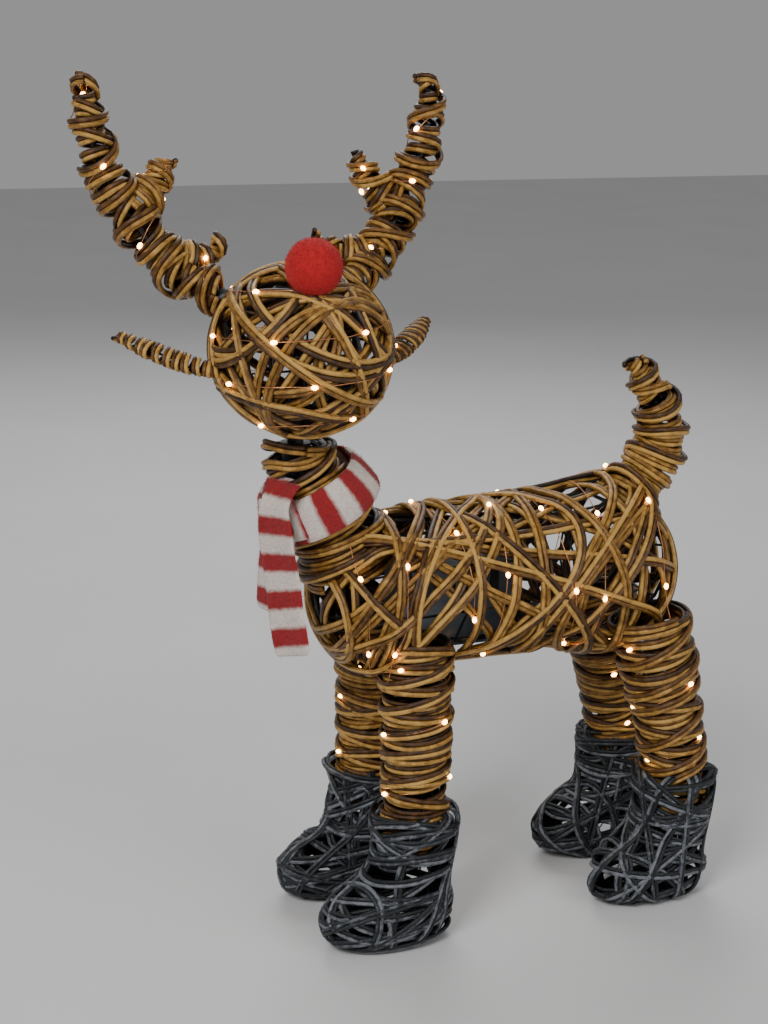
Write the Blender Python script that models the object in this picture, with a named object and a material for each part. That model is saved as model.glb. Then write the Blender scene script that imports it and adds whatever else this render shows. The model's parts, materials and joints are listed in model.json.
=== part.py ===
"""A lit woven reindeer for the yard: wire frame, rattan wrap, boots, scarf, turning head, lift-off antlers.

Metres, +Z up. The reindeer faces -Y and its left side is +X. Its head is turned to its left.
"""

import math

import bmesh
import bpy
from mathutils import Matrix, Vector

# Driving dimensions: what is wound, bent or cut from stock
GAP = 0.0005
WEAVE_WALL = 0.005
STRAND = 0.0052
FRAME_WIRE = 0.0036
THIN_WIRE = 0.0029
FRAME_INSET = 0.0140
LED_INSET = 0.026
HEAD_LED_INSET = 0.034
LED_WIRE = 0.0006
LED_BULB = 0.0019

# Torso
TORSO_FRONT = -0.217
TORSO_LENGTH = 0.366
TORSO_HALF_WIDTH = 0.083
TORSO_AXIS_Z = 0.321
TORSO_HALF_HEIGHT = 0.073
TORSO_SKIN = 0.0036

# Legs
LEG_SPREAD = 0.056
FRONT_LEG_Y = TORSO_FRONT + 0.086
REAR_LEG_Y = TORSO_FRONT + TORSO_LENGTH - 0.008
REAR_LEG_RAKE = 0.034
LEG_RADIUS = 0.031
FRONT_THIGH_RADIUS = LEG_RADIUS + 0.003
REAR_THIGH_RADIUS = LEG_RADIUS + 0.006
LEG_TOP = TORSO_AXIS_Z - 0.036
LEG_TUCK = 0.034
LEG_CAGE_RADIUS = LEG_RADIUS - 0.0145
LEG_LED_RADIUS = LEG_RADIUS - 0.0095

# Boots
BOOT_HEIGHT = 0.122
BOOT_WALL = 0.005
BOOT_RADIUS = LEG_RADIUS + 0.010
BOOT_SOLE = 0.012

# Neck and head
SWIVEL_Y = TORSO_FRONT - 0.011
NECK_TOP = TORSO_AXIS_Z + 0.137
NECK_RADII = (0.050, 0.046, 0.039, 0.036, 0.035)
HEAD_Z = NECK_TOP + 0.087
HEAD_FORWARD = 0.012
HEAD_HALF_WIDTH = 0.076
HEAD_HALF_LENGTH = 0.090
HEAD_HALF_HEIGHT = 0.074
HEAD_SKIN = 0.0022
HEAD_TURN = math.radians(90)
POST_RADIUS = 0.008
POST_CLEARANCE = 0.0006
POST_COLLAR = 0.0055
POST_DEPTH = 0.031
SOCKET_WALL = 0.003
SOCKET_RISE = 0.001
NOSE_RADIUS = 0.0235
NOSE_SINK = 0.0049

# Antlers
ANTLER_RADIUS = 0.022
PEG_RADIUS = 0.0026
PEG_CLEARANCE = 0.0004
PEG_DEPTH = 0.024
SOCKET_TUBE = 0.0020

# Battery box and the hatch below it
CELL_RADIUS = 0.0071
CELL_LENGTH = 0.0495
CELL_GAP = 0.0012
CONTACT_ROOM = 0.0029
CONTACT = 0.0008
BOX_WALL = 0.0024
BOX_Y = TORSO_FRONT + 0.141
BOX_BOTTOM = TORSO_AXIS_Z - 0.0505
BOX_LENGTH = 2 * (CELL_GAP + CELL_LENGTH + CONTACT_ROOM + BOX_WALL)
BOX_WIDTH = 0.045
BOX_HEIGHT = 0.070
SEAL_THICKNESS = 0.0012
LID_THICKNESS = 0.0028
LID_KNUCKLE = 0.0020
HINGE_SETBACK = 0.0035
STRAP = 0.0014
SWITCH_TRAVEL = 0.004
SWITCH_SIZE = (0.008, 0.0024, 0.005)
HATCH_HALF_WIDTH = BOX_WIDTH / 2 + 0.004
HATCH_HALF_LENGTH = BOX_LENGTH / 2 + 0.012
HATCH_Y = BOX_Y + 0.006
HATCH_RIM = 0.0040
HATCH_CORNER = 0.012
HATCH_LIP = 0.0020
HATCH_DEPTH = 0.0125
HATCH_RING_WIRE = 0.0014

# Scarf
SCARF_THICKNESS = 0.007
SCARF_WIDTH = 0.044
SCARF_TAIL = 0.130
SCARF_CLEARANCE = 0.0012
SCARF_INNER = NECK_RADII[2] + 0.0055

X, Y, Z = Vector((1, 0, 0)), Vector((0, 1, 0)), Vector((0, 0, 1))


def clear_scene():
    for item in list(bpy.data.objects):
        bpy.data.objects.remove(item)


def material(name, colour, roughness=0.6, metallic=0.0):
    made = bpy.data.materials.new(name)
    made.use_nodes = True
    shader = made.node_tree.nodes["Principled BSDF"]
    shader.inputs["Base Color"].default_value = (*colour, 1.0)
    shader.inputs["Roughness"].default_value = roughness
    shader.inputs["Metallic"].default_value = metallic
    return made


def link(name, data, colour, parent=None, location=(0, 0, 0)):
    item = bpy.data.objects.new(name, data)
    bpy.context.scene.collection.objects.link(item)
    if colour is not None:
        item.data.materials.append(colour)
    item.location = location
    item.parent = parent
    return item


def mesh_from(name, points, faces):
    """A closed mesh with its faces pointing out."""
    mesh = bpy.data.meshes.new(name)
    mesh.from_pydata([tuple(p) for p in points], [], faces)
    bm = bmesh.new()
    bm.from_mesh(mesh)
    bmesh.ops.recalc_face_normals(bm, faces=bm.faces)
    bm.to_mesh(mesh)
    bm.free()
    return mesh


def helper(name, mesh, parent=None):
    item = link(name, mesh, None, parent)
    item.hide_render = True
    item.display_type = "WIRE"
    return item


def boolean(item, other, operation="DIFFERENCE"):
    step = item.modifiers.new(f"{operation.lower()} {other.name}", "BOOLEAN")
    step.operation = operation
    step.object = other


def smooth_path(points, count):
    """A Catmull-Rom curve through the points, read at evenly shared steps."""
    points = [Vector(p) for p in points]
    ends = [points[0] * 2 - points[1], *points, points[-1] * 2 - points[-2]]
    out = []
    for step in range(count):
        place = step / (count - 1) * (len(points) - 1)
        i = min(int(place), len(points) - 2)
        t = place - i
        a, b, c, d = ends[i : i + 4]
        bend = 2 * a - 5 * b + 4 * c - d
        twist = 3 * b - 3 * c + d - a
        out.append(0.5 * (2 * b + (c - a) * t + bend * t**2 + twist * t**3))
    return out


def share(values, count):
    """The values read at evenly shared steps, on straight lines between them."""
    out = []
    for step in range(count):
        place = step / (count - 1) * (len(values) - 1)
        i = min(int(place), len(values) - 2)
        out.append(values[i] + (values[i + 1] - values[i]) * (place - i))
    return out


def frames_along(path):
    """A sideways and an upward direction at each point, carried along the path without twist."""
    tangents = []
    for i in range(len(path)):
        before, after = path[max(i - 1, 0)], path[min(i + 1, len(path) - 1)]
        tangents.append((after - before).normalized())
    side = X if abs(tangents[0].x) < 0.9 else Y
    out = []
    for tangent in tangents:
        side = (side - tangent * side.dot(tangent)).normalized()
        out.append((side, tangent.cross(side)))
    return out


def ring(centre, u, v, ru, rv, sides):
    turns = [2 * math.pi * k / sides for k in range(sides)]
    return [centre + u * (ru * math.cos(t)) + v * (rv * math.sin(t)) for t in turns]


def band_faces(first, second, sides):
    after = [(k + 1) % sides for k in range(sides)]
    return [(first + k, first + after[k], second + after[k], second + k) for k in range(sides)]


def loft(name, rings):
    """A closed solid through the rings."""
    sides = len(rings[0])
    faces = []
    for i in range(len(rings) - 1):
        faces += band_faces(i * sides, (i + 1) * sides, sides)
    last = (len(rings) - 1) * sides
    faces += [tuple(range(sides)), tuple(last + k for k in range(sides))]
    return mesh_from(name, [p for r in rings for p in r], faces)


def tube_rings(path, radii, sides, less=0.0):
    out = []
    for centre, (u, v), radius in zip(path, frames_along(path), radii):
        wide, tall = radius if isinstance(radius, tuple) else (radius, radius)
        out.append(ring(centre, u, v, wide - less, tall - less, sides))
    return out


def sleeve(name, path, radii, sides=10, wall=WEAVE_WALL, closed_tip=False):
    """A hollow wound tube, open at its root and, unless closed_tip, at its end."""
    outer = tube_rings(path, radii, sides)
    inner = tube_rings(path, radii, sides, wall)
    if closed_tip:
        inner = inner[:-1]
    faces = []
    start = len(outer) * sides
    for i in range(len(outer) - 1):
        faces += band_faces(i * sides, (i + 1) * sides, sides)
    for i in range(len(inner) - 1):
        faces += band_faces(start + i * sides, start + (i + 1) * sides, sides)
    faces += band_faces(0, start, sides)
    last_outer, last_inner = (len(outer) - 1) * sides, start + (len(inner) - 1) * sides
    if closed_tip:
        faces += [tuple(last_outer + k for k in range(sides)), tuple(last_inner + k for k in range(sides))]
    else:
        faces += band_faces(last_outer, last_inner, sides)
    return mesh_from(name, [p for r in outer + inner for p in r], faces)


def openwork(item, thickness):
    step = item.modifiers.new("openwork", "WIREFRAME")
    step.thickness = thickness
    step.offset = 0
    step.use_even_offset = False
    step.use_relative_offset = False


def lattice(name, rows):
    """A skin of diamonds over rows of points, each row half a step round from the last."""
    sides = len(rows[0])
    last = len(rows) - 1

    def at(row, k):
        return row * sides + k % sides

    faces = [tuple(range(sides)), tuple(last * sides + k for k in range(sides))]
    for row in range(last + 1):
        for k in range(sides):
            between = k if row % 2 == 0 else k + 1
            corners = [at(row, k)]
            if row > 0:
                corners.append(at(row - 1, between))
            corners.append(at(row, k + 1))
            if row < last:
                corners.append(at(row + 1, between))
            faces.append(tuple(corners))
    return mesh_from(name, [p for r in rows for p in r], faces)


def wire(name, points, radius, colour, parent=None, location=(0, 0, 0), radii=None, sides=2, cyclic=False):
    curve = bpy.data.curves.new(name, "CURVE")
    curve.dimensions = "3D"
    curve.bevel_depth = radius
    curve.bevel_resolution = sides
    curve.use_fill_caps = not cyclic
    spline = curve.splines.new("POLY")
    spline.points.add(len(points) - 1)
    spline.use_cyclic_u = cyclic
    for i, (point, place) in enumerate(zip(spline.points, points)):
        point.co = (*place, 1.0)
        point.radius = radii[i] if radii else 1.0
    return link(name, curve, colour, parent, location)


def led_string(name, path, bulbs, colour, parent=None):
    """A thin wire with moulded bulbs at even steps, as one piece."""
    lengths = [0.0]
    for a, b in zip(path, path[1:]):
        lengths.append(lengths[-1] + (b - a).length)
    swell = LED_BULB / LED_WIRE
    body, tip = 0.75 * LED_BULB, 1.37 * LED_BULB
    stops = [(s, 1.0) for s in lengths]
    for k in range(bulbs):
        middle = lengths[-1] * (k + 0.5) / bulbs
        stops = [stop for stop in stops if abs(stop[0] - middle) > tip + LED_WIRE]
        stops += [(middle - tip, 1.0), (middle - body, swell)]
        stops += [(middle + body, swell), (middle + tip, 1.0)]
    stops.sort()
    points = [point_at(path, lengths, s) for s, _ in stops]
    return wire(name, points, LED_WIRE, colour, parent, radii=[r for _, r in stops], sides=0)


def point_at(path, lengths, s):
    for i in range(len(path) - 1):
        if s <= lengths[i + 1] or i == len(path) - 2:
            t = (s - lengths[i]) / (lengths[i + 1] - lengths[i])
            return path[i] + (path[i + 1] - path[i]) * t


def box(name, size, centre, colour, parent=None, location=(0, 0, 0)):
    bm = bmesh.new()
    bmesh.ops.create_cube(bm, size=1.0)
    bmesh.ops.scale(bm, vec=size, verts=bm.verts)
    bmesh.ops.translate(bm, vec=centre, verts=bm.verts)
    mesh = bpy.data.meshes.new(name)
    bm.to_mesh(mesh)
    bm.free()
    return link(name, mesh, colour, parent, location)


def cylinder(name, start, end, radius, sides, colour, parent=None, location=(0, 0, 0)):
    path = [Vector(start), Vector(end)]
    return link(name, loft(name, tube_rings(path, [radius, radius], sides)), colour, parent, location)


# Torso


def torso_section(t):
    """Centre and half sizes of the torso, from the chest at 0 to the rump at 1."""
    end = min(1.0, 2.6 * math.sin(math.pi * min(max(t, 0.02), 0.975)))
    round_off = end**0.55
    haunch = 0.010 * math.exp(-(((t - 0.84) / 0.16) ** 2))
    waist = -0.004 * math.exp(-(((t - 0.45) / 0.2) ** 2))
    centre = Vector((0, TORSO_FRONT + TORSO_LENGTH * t, TORSO_AXIS_Z + 0.004 * t))
    return centre, (TORSO_HALF_WIDTH + waist) * round_off, (TORSO_HALF_HEIGHT + waist + haunch) * round_off


def torso_ring(t, sides, inset=0.0, turn=0.0):
    centre, wide, tall = torso_section(t)
    steps = [2 * math.pi * k / sides + turn for k in range(sides)]
    return [centre + X * ((wide - inset) * math.cos(s)) + Z * ((tall - inset) * math.sin(s)) for s in steps]


def torso_envelope(extra):
    rings = [torso_ring(k / 16, 24, -extra) for k in range(17)]
    return helper(f"torso envelope {extra:.4f}", loft("torso envelope", rings))


def hatch_loop(half_width, half_length, z, corner=HATCH_CORNER):
    """A rectangle with round corners, under the belly and round the battery box."""
    out = []
    for x_side, y_side, start in ((1, 1, 0), (-1, 1, 90), (-1, -1, 180), (1, -1, 270)):
        for k in range(4):
            angle = math.radians(start + 30 * k)
            x = x_side * (half_width - corner) + corner * math.cos(angle)
            y = y_side * (half_length - corner) + corner * math.sin(angle)
            out.append(Vector((x, HATCH_Y + y, z)))
    return out


def belly_z():
    centre, _, tall = torso_section((HATCH_Y - TORSO_FRONT) / TORSO_LENGTH)
    return centre.z - tall


def hatch_cutter(extra, below=0.030):
    half = HATCH_HALF_WIDTH + extra, HATCH_HALF_LENGTH + extra
    rings = [hatch_loop(*half, belly_z() + z) for z in (-below, 0.040)]
    return helper(f"hatch cutter {extra:.4f}", loft("hatch cutter", rings))


def make_torso(rattan, steel):
    rows, sides = 11, 12
    step = 2 * math.pi / sides
    low = -math.pi / 2
    weave_rows = [
        torso_ring(0.02 + 0.96 * k / rows, sides, STRAND / 2, low + (0.5 * step if k % 2 else 0.001))
        for k in range(rows + 1)
    ]
    weave = link("torso_weave", lattice("torso_weave", weave_rows), rattan)
    openwork(weave, STRAND)
    boolean(weave, hatch_cutter(HATCH_RIM / 2))
    boolean(weave, hatch_rim(), "UNION")
    frame_rows = [frame_ring(0.06 + 0.88 * k / 6) for k in range(7)]
    frame = link("torso_frame", loft("torso_frame", frame_rows), steel)
    openwork(frame, FRAME_WIRE)
    boolean(frame, hatch_cutter(HATCH_RIM + 2 * GAP))
    inside = HATCH_RING_WIRE + 0.0008
    loop = hatch_loop(HATCH_HALF_WIDTH - inside, HATCH_HALF_LENGTH - inside, belly_z() + 0.004)
    wire("hatch_ring", loop, HATCH_RING_WIRE, steel, cyclic=True)


def frame_ring(t):
    """Eight rails, set so that the lowest two pass beside the belly hatch."""
    centre, wide, tall = torso_section(t)
    wide, tall = wide - FRAME_INSET, tall - FRAME_INSET
    turns = [math.radians(a - 90) for a in (36, 80, 122, 160, 200, 238, 280, 324)]
    return [centre + X * (wide * math.cos(a)) + Z * (tall * math.sin(a)) for a in turns]


def hatch_rim():
    outer = HATCH_HALF_WIDTH + HATCH_RIM, HATCH_HALF_LENGTH + HATCH_RIM
    inner = HATCH_HALF_WIDTH, HATCH_HALF_LENGTH
    loops = [
        hatch_loop(*outer, belly_z() - HATCH_LIP),
        hatch_loop(*outer, belly_z() + HATCH_DEPTH),
        hatch_loop(*inner, belly_z() + HATCH_DEPTH),
        hatch_loop(*inner, belly_z() - HATCH_LIP),
    ]
    sides = len(loops[0])
    faces = []
    for i in range(4):
        faces += band_faces(i * sides, (i + 1) % 4 * sides, sides)
    return helper("hatch rim", mesh_from("hatch rim", [p for loop in loops for p in loop], faces))


# Legs and boots


def leg_path(side, y, rake):
    """From inside the boot up into the belly."""
    rise = LEG_TOP - BOOT_HEIGHT
    return [
        Vector((side * LEG_SPREAD, y, BOOT_HEIGHT - LEG_TUCK)),
        Vector((side * LEG_SPREAD, y, BOOT_HEIGHT)),
        Vector((side * LEG_SPREAD, y - 0.30 * rake, BOOT_HEIGHT + 0.36 * rise)),
        Vector((side * (LEG_SPREAD - 0.003), y - 0.70 * rake, BOOT_HEIGHT + 0.72 * rise)),
        Vector((side * (LEG_SPREAD - 0.006), y - rake, LEG_TOP)),
    ]


def make_leg(name, side, y, rake, thigh, envelope, rattan, steel, lamp):
    path = leg_path(side, y, rake)
    radii = [LEG_RADIUS, LEG_RADIUS, LEG_RADIUS + 0.3 * (thigh - LEG_RADIUS), thigh, thigh]
    weave = link(f"leg_weave_{name}", sleeve(f"leg_weave_{name}", path, radii), rattan)
    boolean(weave, envelope)
    boolean(weave, hatch_cutter(HATCH_RIM + 2 * GAP, HATCH_LIP + 2 * GAP))
    foot = Vector((side * LEG_SPREAD, y, BOOT_SOLE + FRAME_WIRE))
    inner = [foot, *path[1:3], path[3].lerp(path[4], 0.05)]
    cage = tube_rings(inner, [LEG_CAGE_RADIUS] * len(inner), 4)
    frame = link(f"leg_frame_{name}", loft("leg frame", cage), steel)
    openwork(frame, THIN_WIRE)
    climb = smooth_path(path[:4], 22)
    coil = []
    for k, centre in enumerate(climb):
        angle = 2 * math.pi * k / 8
        coil.append(centre + LEG_LED_RADIUS * (X * math.cos(angle) + Y * math.sin(angle)))
    led_string(f"led_string_leg_{name}", coil, 3, lamp)


def boot_sections():
    """Height, forward shift, half width and half length: a round toe, an ankle and a flared rim."""
    h = BOOT_HEIGHT
    r = BOOT_RADIUS
    return [
        (0.0, 0.020, 0.54 * r, 1.04 * r),
        (BOOT_SOLE, 0.025, 0.82 * r, 1.48 * r),
        (0.27 * h, 0.026, 0.90 * r, 1.58 * r),
        (0.41 * h, 0.020, 0.87 * r, 1.36 * r),
        (0.50 * h, 0.010, 0.86 * r, 1.08 * r),
        (0.60 * h, 0.003, 0.88 * r, 0.92 * r),
        (0.80 * h, 0.0, 0.93 * r, 0.93 * r),
        (h, 0.0, r, r),
    ]


def make_boot(name, side, y, charcoal):
    sides = 10
    outer, inner = [], []
    for z, ahead, wide, long in boot_sections():
        centre = Vector((side * LEG_SPREAD, y - ahead, z))
        outer.append(ring(centre, X, Y, wide, long, sides))
        inner.append(ring(centre, X, Y, wide - BOOT_WALL, long - BOOT_WALL, sides))
    link(f"boot_{name}", loft(f"boot_{name}", outer + inner[:0:-1]), charcoal)


# Neck and tail


def neck_points():
    """From inside the chest up to the swivel."""
    chest = TORSO_FRONT + 0.045
    return [
        Vector((0, chest, TORSO_AXIS_Z + 0.025)),
        Vector((0, chest - 0.020, TORSO_AXIS_Z + 0.065)),
        Vector((0, SWIVEL_Y + 0.012, NECK_TOP - 0.028)),
        Vector((0, SWIVEL_Y, NECK_TOP - 0.008)),
        Vector((0, SWIVEL_Y, NECK_TOP)),
    ]


def make_neck(envelope, rattan, steel, black):
    weave = link("neck_weave", sleeve("neck_weave", neck_points(), NECK_RADII, sides=12), rattan)
    boolean(weave, envelope)
    path = [neck_points()[1] + Z * 0.016, *neck_points()[2:4]]
    cage = tube_rings(path, [NECK_RADII[1] - 0.017, NECK_RADII[2] - 0.013, NECK_RADII[3] - 0.012], 6)
    frame = link("neck_frame", loft("neck frame", cage), steel)
    openwork(frame, THIN_WIRE)
    bore = POST_RADIUS + POST_CLEARANCE
    foot = NECK_TOP - POST_DEPTH - 0.003
    flange = NECK_TOP - 0.004
    section = (
        (foot, bore),
        (foot, bore + SOCKET_WALL),
        (flange, bore + SOCKET_WALL),
        (flange, bore + 2 * SOCKET_WALL),
        (NECK_TOP + SOCKET_RISE, bore + 2 * SOCKET_WALL),
        (NECK_TOP + SOCKET_RISE, bore),
    )
    rings = [ring(Vector((0, SWIVEL_Y, z)), X, Y, r, r, 20) for z, r in section]
    link("neck_socket", ring_solid("neck_socket", rings), black)


def ring_solid(name, rings):
    """A turned ring: its section runs through the rings and closes on the first."""
    sides = len(rings[0])
    faces = []
    for i in range(len(rings)):
        faces += band_faces(i * sides, (i + 1) % len(rings) * sides, sides)
    return mesh_from(name, [p for r in rings for p in r], faces)


def make_tail(envelope, rattan, steel):
    root = TORSO_FRONT + 0.865 * TORSO_LENGTH
    base = TORSO_AXIS_Z + TORSO_HALF_HEIGHT - 0.012
    bends = ((0, 0), (0.030, 0.034), (0.040, 0.064), (0.030, 0.098), (0.006, 0.134))
    path = smooth_path([(0, root + back, base + up) for back, up in bends], 8)
    radii = share([0.027, 0.027, 0.024, 0.019, 0.010], 8)
    weave = link("tail_weave", sleeve("tail_weave", path, radii, sides=8, closed_tip=True), rattan)
    boolean(weave, envelope)
    wire("tail_frame", path[2:6], 0.0016, steel)


# Battery box


def make_box(grey, steel, cell_colour, seal_colour, board):
    top = BOX_BOTTOM + BOX_HEIGHT
    middle = (BOX_BOTTOM + top) / 2
    shell = box("battery_box", (BOX_WIDTH, BOX_LENGTH, BOX_HEIGHT), (0, BOX_Y, middle), grey)
    inner = BOX_WIDTH - 2 * BOX_WALL, BOX_LENGTH - 2 * BOX_WALL
    bay = box("bay cutter", (*inner, BOX_HEIGHT), (0, BOX_Y, middle - BOX_WALL), None)
    hide(bay)
    boolean(shell, bay)
    for k in range(5):
        centre = (BOX_WIDTH / 2, BOX_Y - 0.024 + 0.006 * k, top - 0.016)
        slot = box(f"vent cutter {k}", (2 * BOX_WALL, 0.003, 0.012), centre, None)
        hide(slot)
        boolean(shell, slot)
    seal_top = BOX_BOTTOM - GAP
    seal_foot = seal_top - SEAL_THICKNESS
    rim = []
    for wide, long, z in ((BOX_WIDTH, BOX_LENGTH, seal_top), (*inner, seal_top),
                          (*inner, seal_foot), (BOX_WIDTH, BOX_LENGTH, seal_foot)):
        corners = ((1, 1), (-1, 1), (-1, -1), (1, -1))
        rim.append([Vector((x * wide / 2, BOX_Y + y * long / 2, z)) for x, y in corners])
    link("lid_seal", ring_solid("lid_seal", rim), seal_colour)
    make_lid(seal_foot - GAP, grey)
    make_cells(top, cell_colour, steel, board)
    make_brackets(top, steel)


def hide(item):
    item.hide_render = True
    item.display_type = "WIRE"


def make_lid(lid_top, grey):
    """The lid's origin is on its hinge, across the box's rear end. Its catch is at the front."""
    hinge = Vector((0, BOX_Y + BOX_LENGTH / 2 + HINGE_SETBACK, lid_top - LID_THICKNESS / 2))
    length = BOX_LENGTH - 0.006
    plate = (BOX_WIDTH - 0.004, length, LID_THICKNESS)
    setback = HINGE_SETBACK - GAP
    lid = box("box_lid", plate, (0, -setback - length / 2, 0), grey, None, hinge)
    half = 0.012
    knuckle = cylinder("lid knuckle", (-half, 0, 0), (half, 0, 0), LID_KNUCKLE, 10, None, lid)
    hide(knuckle)
    web = (2 * half, setback + LID_KNUCKLE, LID_KNUCKLE)
    neck = box("lid neck", web, (0, -(setback + LID_KNUCKLE) / 2 + 0.0005, 0), None, lid)
    hide(neck)
    boolean(lid, neck, "UNION")
    boolean(lid, knuckle, "UNION")


def make_cells(top, colour, steel, board):
    first = BOX_BOTTOM + 0.002 + CELL_RADIUS
    for k in range(4):
        side = -1 if k % 2 else 1
        end = -1 if k < 2 else 1
        x = side * (CELL_RADIUS + CELL_GAP / 2)
        start = Vector((x, BOX_Y + end * CELL_GAP, first))
        nub = end * 0.0012 * Y
        stop = start + end * CELL_LENGTH * Y
        path = [start, stop - nub, stop - 0.99 * nub, stop]
        nub_radius = 0.37 * CELL_RADIUS
        radii = [CELL_RADIUS, CELL_RADIUS, nub_radius, nub_radius]
        link(f"battery_cell_{k + 1}", loft("cell", tube_rings(path, radii, 12)), colour)
    for word, end in (("front", -1), ("rear", 1)):
        y = BOX_Y + end * (BOX_LENGTH / 2 - BOX_WALL - GAP - CONTACT / 2)
        plate = (4 * CELL_RADIUS + CELL_GAP, CONTACT, 1.7 * CELL_RADIUS)
        box(f"contact_plate_{word}", plate, (0, y, first), steel)
    size = (BOX_WIDTH - 0.015, BOX_LENGTH - 0.042, 0.0016)
    box("timer_board", size, (0, BOX_Y, top - BOX_WALL - 0.008), board)


def make_brackets(top, steel):
    """Bent steel straps over the box, hung from the frame."""
    inner = BOX_WIDTH / 2 + GAP
    outer = inner + STRAP
    under, over = top + GAP, top + GAP + STRAP
    foot = top - 0.030
    outline = [(-outer, foot), (-outer, over), (outer, over), (outer, foot),
               (inner, foot), (inner, under), (-inner, under), (-inner, foot)]
    for word, y in (("front", BOX_Y - 0.030), ("rear", BOX_Y + 0.034)):
        rings = [[Vector((x, y + d, z)) for x, z in outline] for d in (-0.004, 0.004)]
        link(f"box_bracket_{word}", loft("bracket", rings), steel)


def make_switch(black):
    """A slide button in the box's front wall, just above the lid."""
    y = BOX_Y - BOX_LENGTH / 2 - GAP - SWITCH_SIZE[1] / 2
    z = BOX_BOTTOM + 0.010
    box("mode_switch", SWITCH_SIZE, (0, 0, 0), black, None, (-SWITCH_TRAVEL / 2, y, z))


# Light strings


def make_body_lights(lamp):
    """The string leaves the box's rear end and swings from flank to flank over the top of the torso."""
    rear = BOX_Y + BOX_LENGTH / 2 + LED_BULB + GAP
    leave = BOX_BOTTOM + BOX_HEIGHT - 0.015
    lead = [Vector((0, rear, leave)), Vector((0.004, rear + 0.006, leave + 0.003))]
    swings, count = 3.5, 42
    path = []
    for k in range(count):
        t = 0.66 - 0.50 * k / (count - 1)
        centre, wide, tall = torso_section(t)
        wide, tall = wide - LED_INSET, tall - LED_INSET
        angle = 2.1 * math.sin(2 * math.pi * swings * k / (count - 1))
        path.append(centre + X * (wide * math.sin(angle)) + Z * (tall * math.cos(angle)))
    led_string("led_string_body", [*lead, *path], 12, lamp)


# Scarf


def make_scarf(envelope, fleece):
    """A loop round the neck, square to it, and two tails hanging from its front."""
    low, high = neck_points()[1], neck_points()[2]
    axis = (high - low).normalized()
    centre = low.lerp(high, 0.72)
    u, v = X, axis.cross(X)
    half = SCARF_WIDTH / 2
    inner, outer = SCARF_INNER, SCARF_INNER + SCARF_THICKNESS
    section = ((-half, inner + 0.002), (-half, outer), (0, outer + 0.002),
               (half, outer - 0.003), (half, inner - 0.003))
    rings = [ring(centre + axis * h, u, v, r, r, 20) for h, r in section]
    scarf = link("scarf", ring_solid("scarf", rings), fleece)
    out = Vector((0.92, -0.39, 0)).normalized()
    hang = Z.cross(out)
    knot = centre + Vector((0.030, -0.040, -0.004)).normalized() * (outer - 0.0014)
    second = knot - hang * 0.007 - out * (2 * SCARF_THICKNESS + 0.002)
    tails = (("front tail", knot, SCARF_TAIL), ("back tail", second, 0.74 * SCARF_TAIL))
    for name, start, drop in tails:
        boolean(scarf, scarf_tail(name, start, hang, out, drop), "UNION")
    radii = [r + SCARF_CLEARANCE for r in NECK_RADII]
    boolean(scarf, helper("neck envelope", loft("neck envelope", tube_rings(neck_points(), radii, 12))))
    boolean(scarf, envelope)


def scarf_tail(name, start, hang, out, drop):
    """A flat strip that narrows where it is tucked into the knot."""
    thick = out * (SCARF_THICKNESS / 2)
    rings = []
    for z, wide, lean in ((0.022, 0.7, 0.004), (0.0, 0.9, 0.004), (-0.03, 1.0, 0.008), (-drop, 1.0, 0.008)):
        middle = start + out * lean + Z * z
        w = hang * (wide * SCARF_WIDTH / 2)
        rings.append([middle - w - thick, middle + w - thick, middle + w + thick, middle - w + thick])
    return helper(name, loft(name, rings))


# Head. Its geometry is in the head's own frame: the swivel axis is Z and the muzzle points to -Y.


def head_centre():
    return Vector((0, -HEAD_FORWARD, HEAD_Z - NECK_TOP))


def head_ring(height, sides, inset=0.0, turn=0.0):
    """A level ring of the head, at a height from -1 at the chin to 1 at the crown."""
    flat = math.sqrt(max(1 - height * height, 0.0))
    wide = max((HEAD_HALF_WIDTH - inset) * flat, 0.004)
    long = max((HEAD_HALF_LENGTH - inset) * flat, 0.004)
    centre = head_centre() + Z * ((HEAD_HALF_HEIGHT - inset) * height)
    steps = [2 * math.pi * k / sides + turn for k in range(sides)]
    return [centre + X * (wide * math.cos(s)) + Y * (long * math.sin(s)) for s in steps]


def head_envelope(pivot, extra):
    heights = [-math.cos(math.pi * (0.03 + 0.94 * k / 12)) for k in range(13)]
    rings = [head_ring(height, 24, -extra) for height in heights]
    return helper("head envelope", loft("head envelope", rings), pivot)


def make_head(pivot, rattan, steel, black):
    sides, rows = 12, 8
    step = 2 * math.pi / sides
    heights = [-math.cos(math.pi * (0.085 + 0.83 * k / rows)) for k in range(rows + 1)]
    skin = [head_ring(h, sides, STRAND / 2, 0.5 * step * (k % 2)) for k, h in enumerate(heights)]
    weave = link("head_weave", lattice("head_weave", skin), rattan, pivot)
    openwork(weave, STRAND)
    cage = [head_ring(h, 6, FRAME_INSET + 0.001) for h in (-0.9, -0.5, 0.1, 0.6, 0.93)]
    frame = link("head_frame", loft("head_frame", cage), steel, pivot)
    openwork(frame, FRAME_WIRE)
    make_post(pivot, black)
    return weave, frame


def make_post(pivot, black):
    """The spigot that turns in the neck's socket, with a collar that rests on it."""
    seat, top = SOCKET_RISE + GAP, SOCKET_RISE + 0.0035
    section = (
        (-POST_DEPTH, POST_RADIUS),
        (seat, POST_RADIUS),
        (seat, POST_RADIUS + POST_COLLAR),
        (top, POST_RADIUS + POST_COLLAR),
        (top, POST_RADIUS - 0.001),
        (0.052, POST_RADIUS - 0.001),
    )
    rings = [ring(Vector((0, 0, z)), X, Y, r, r, 20) for z, r in section]
    link("head_post", loft("head_post", rings), black, pivot)


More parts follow.
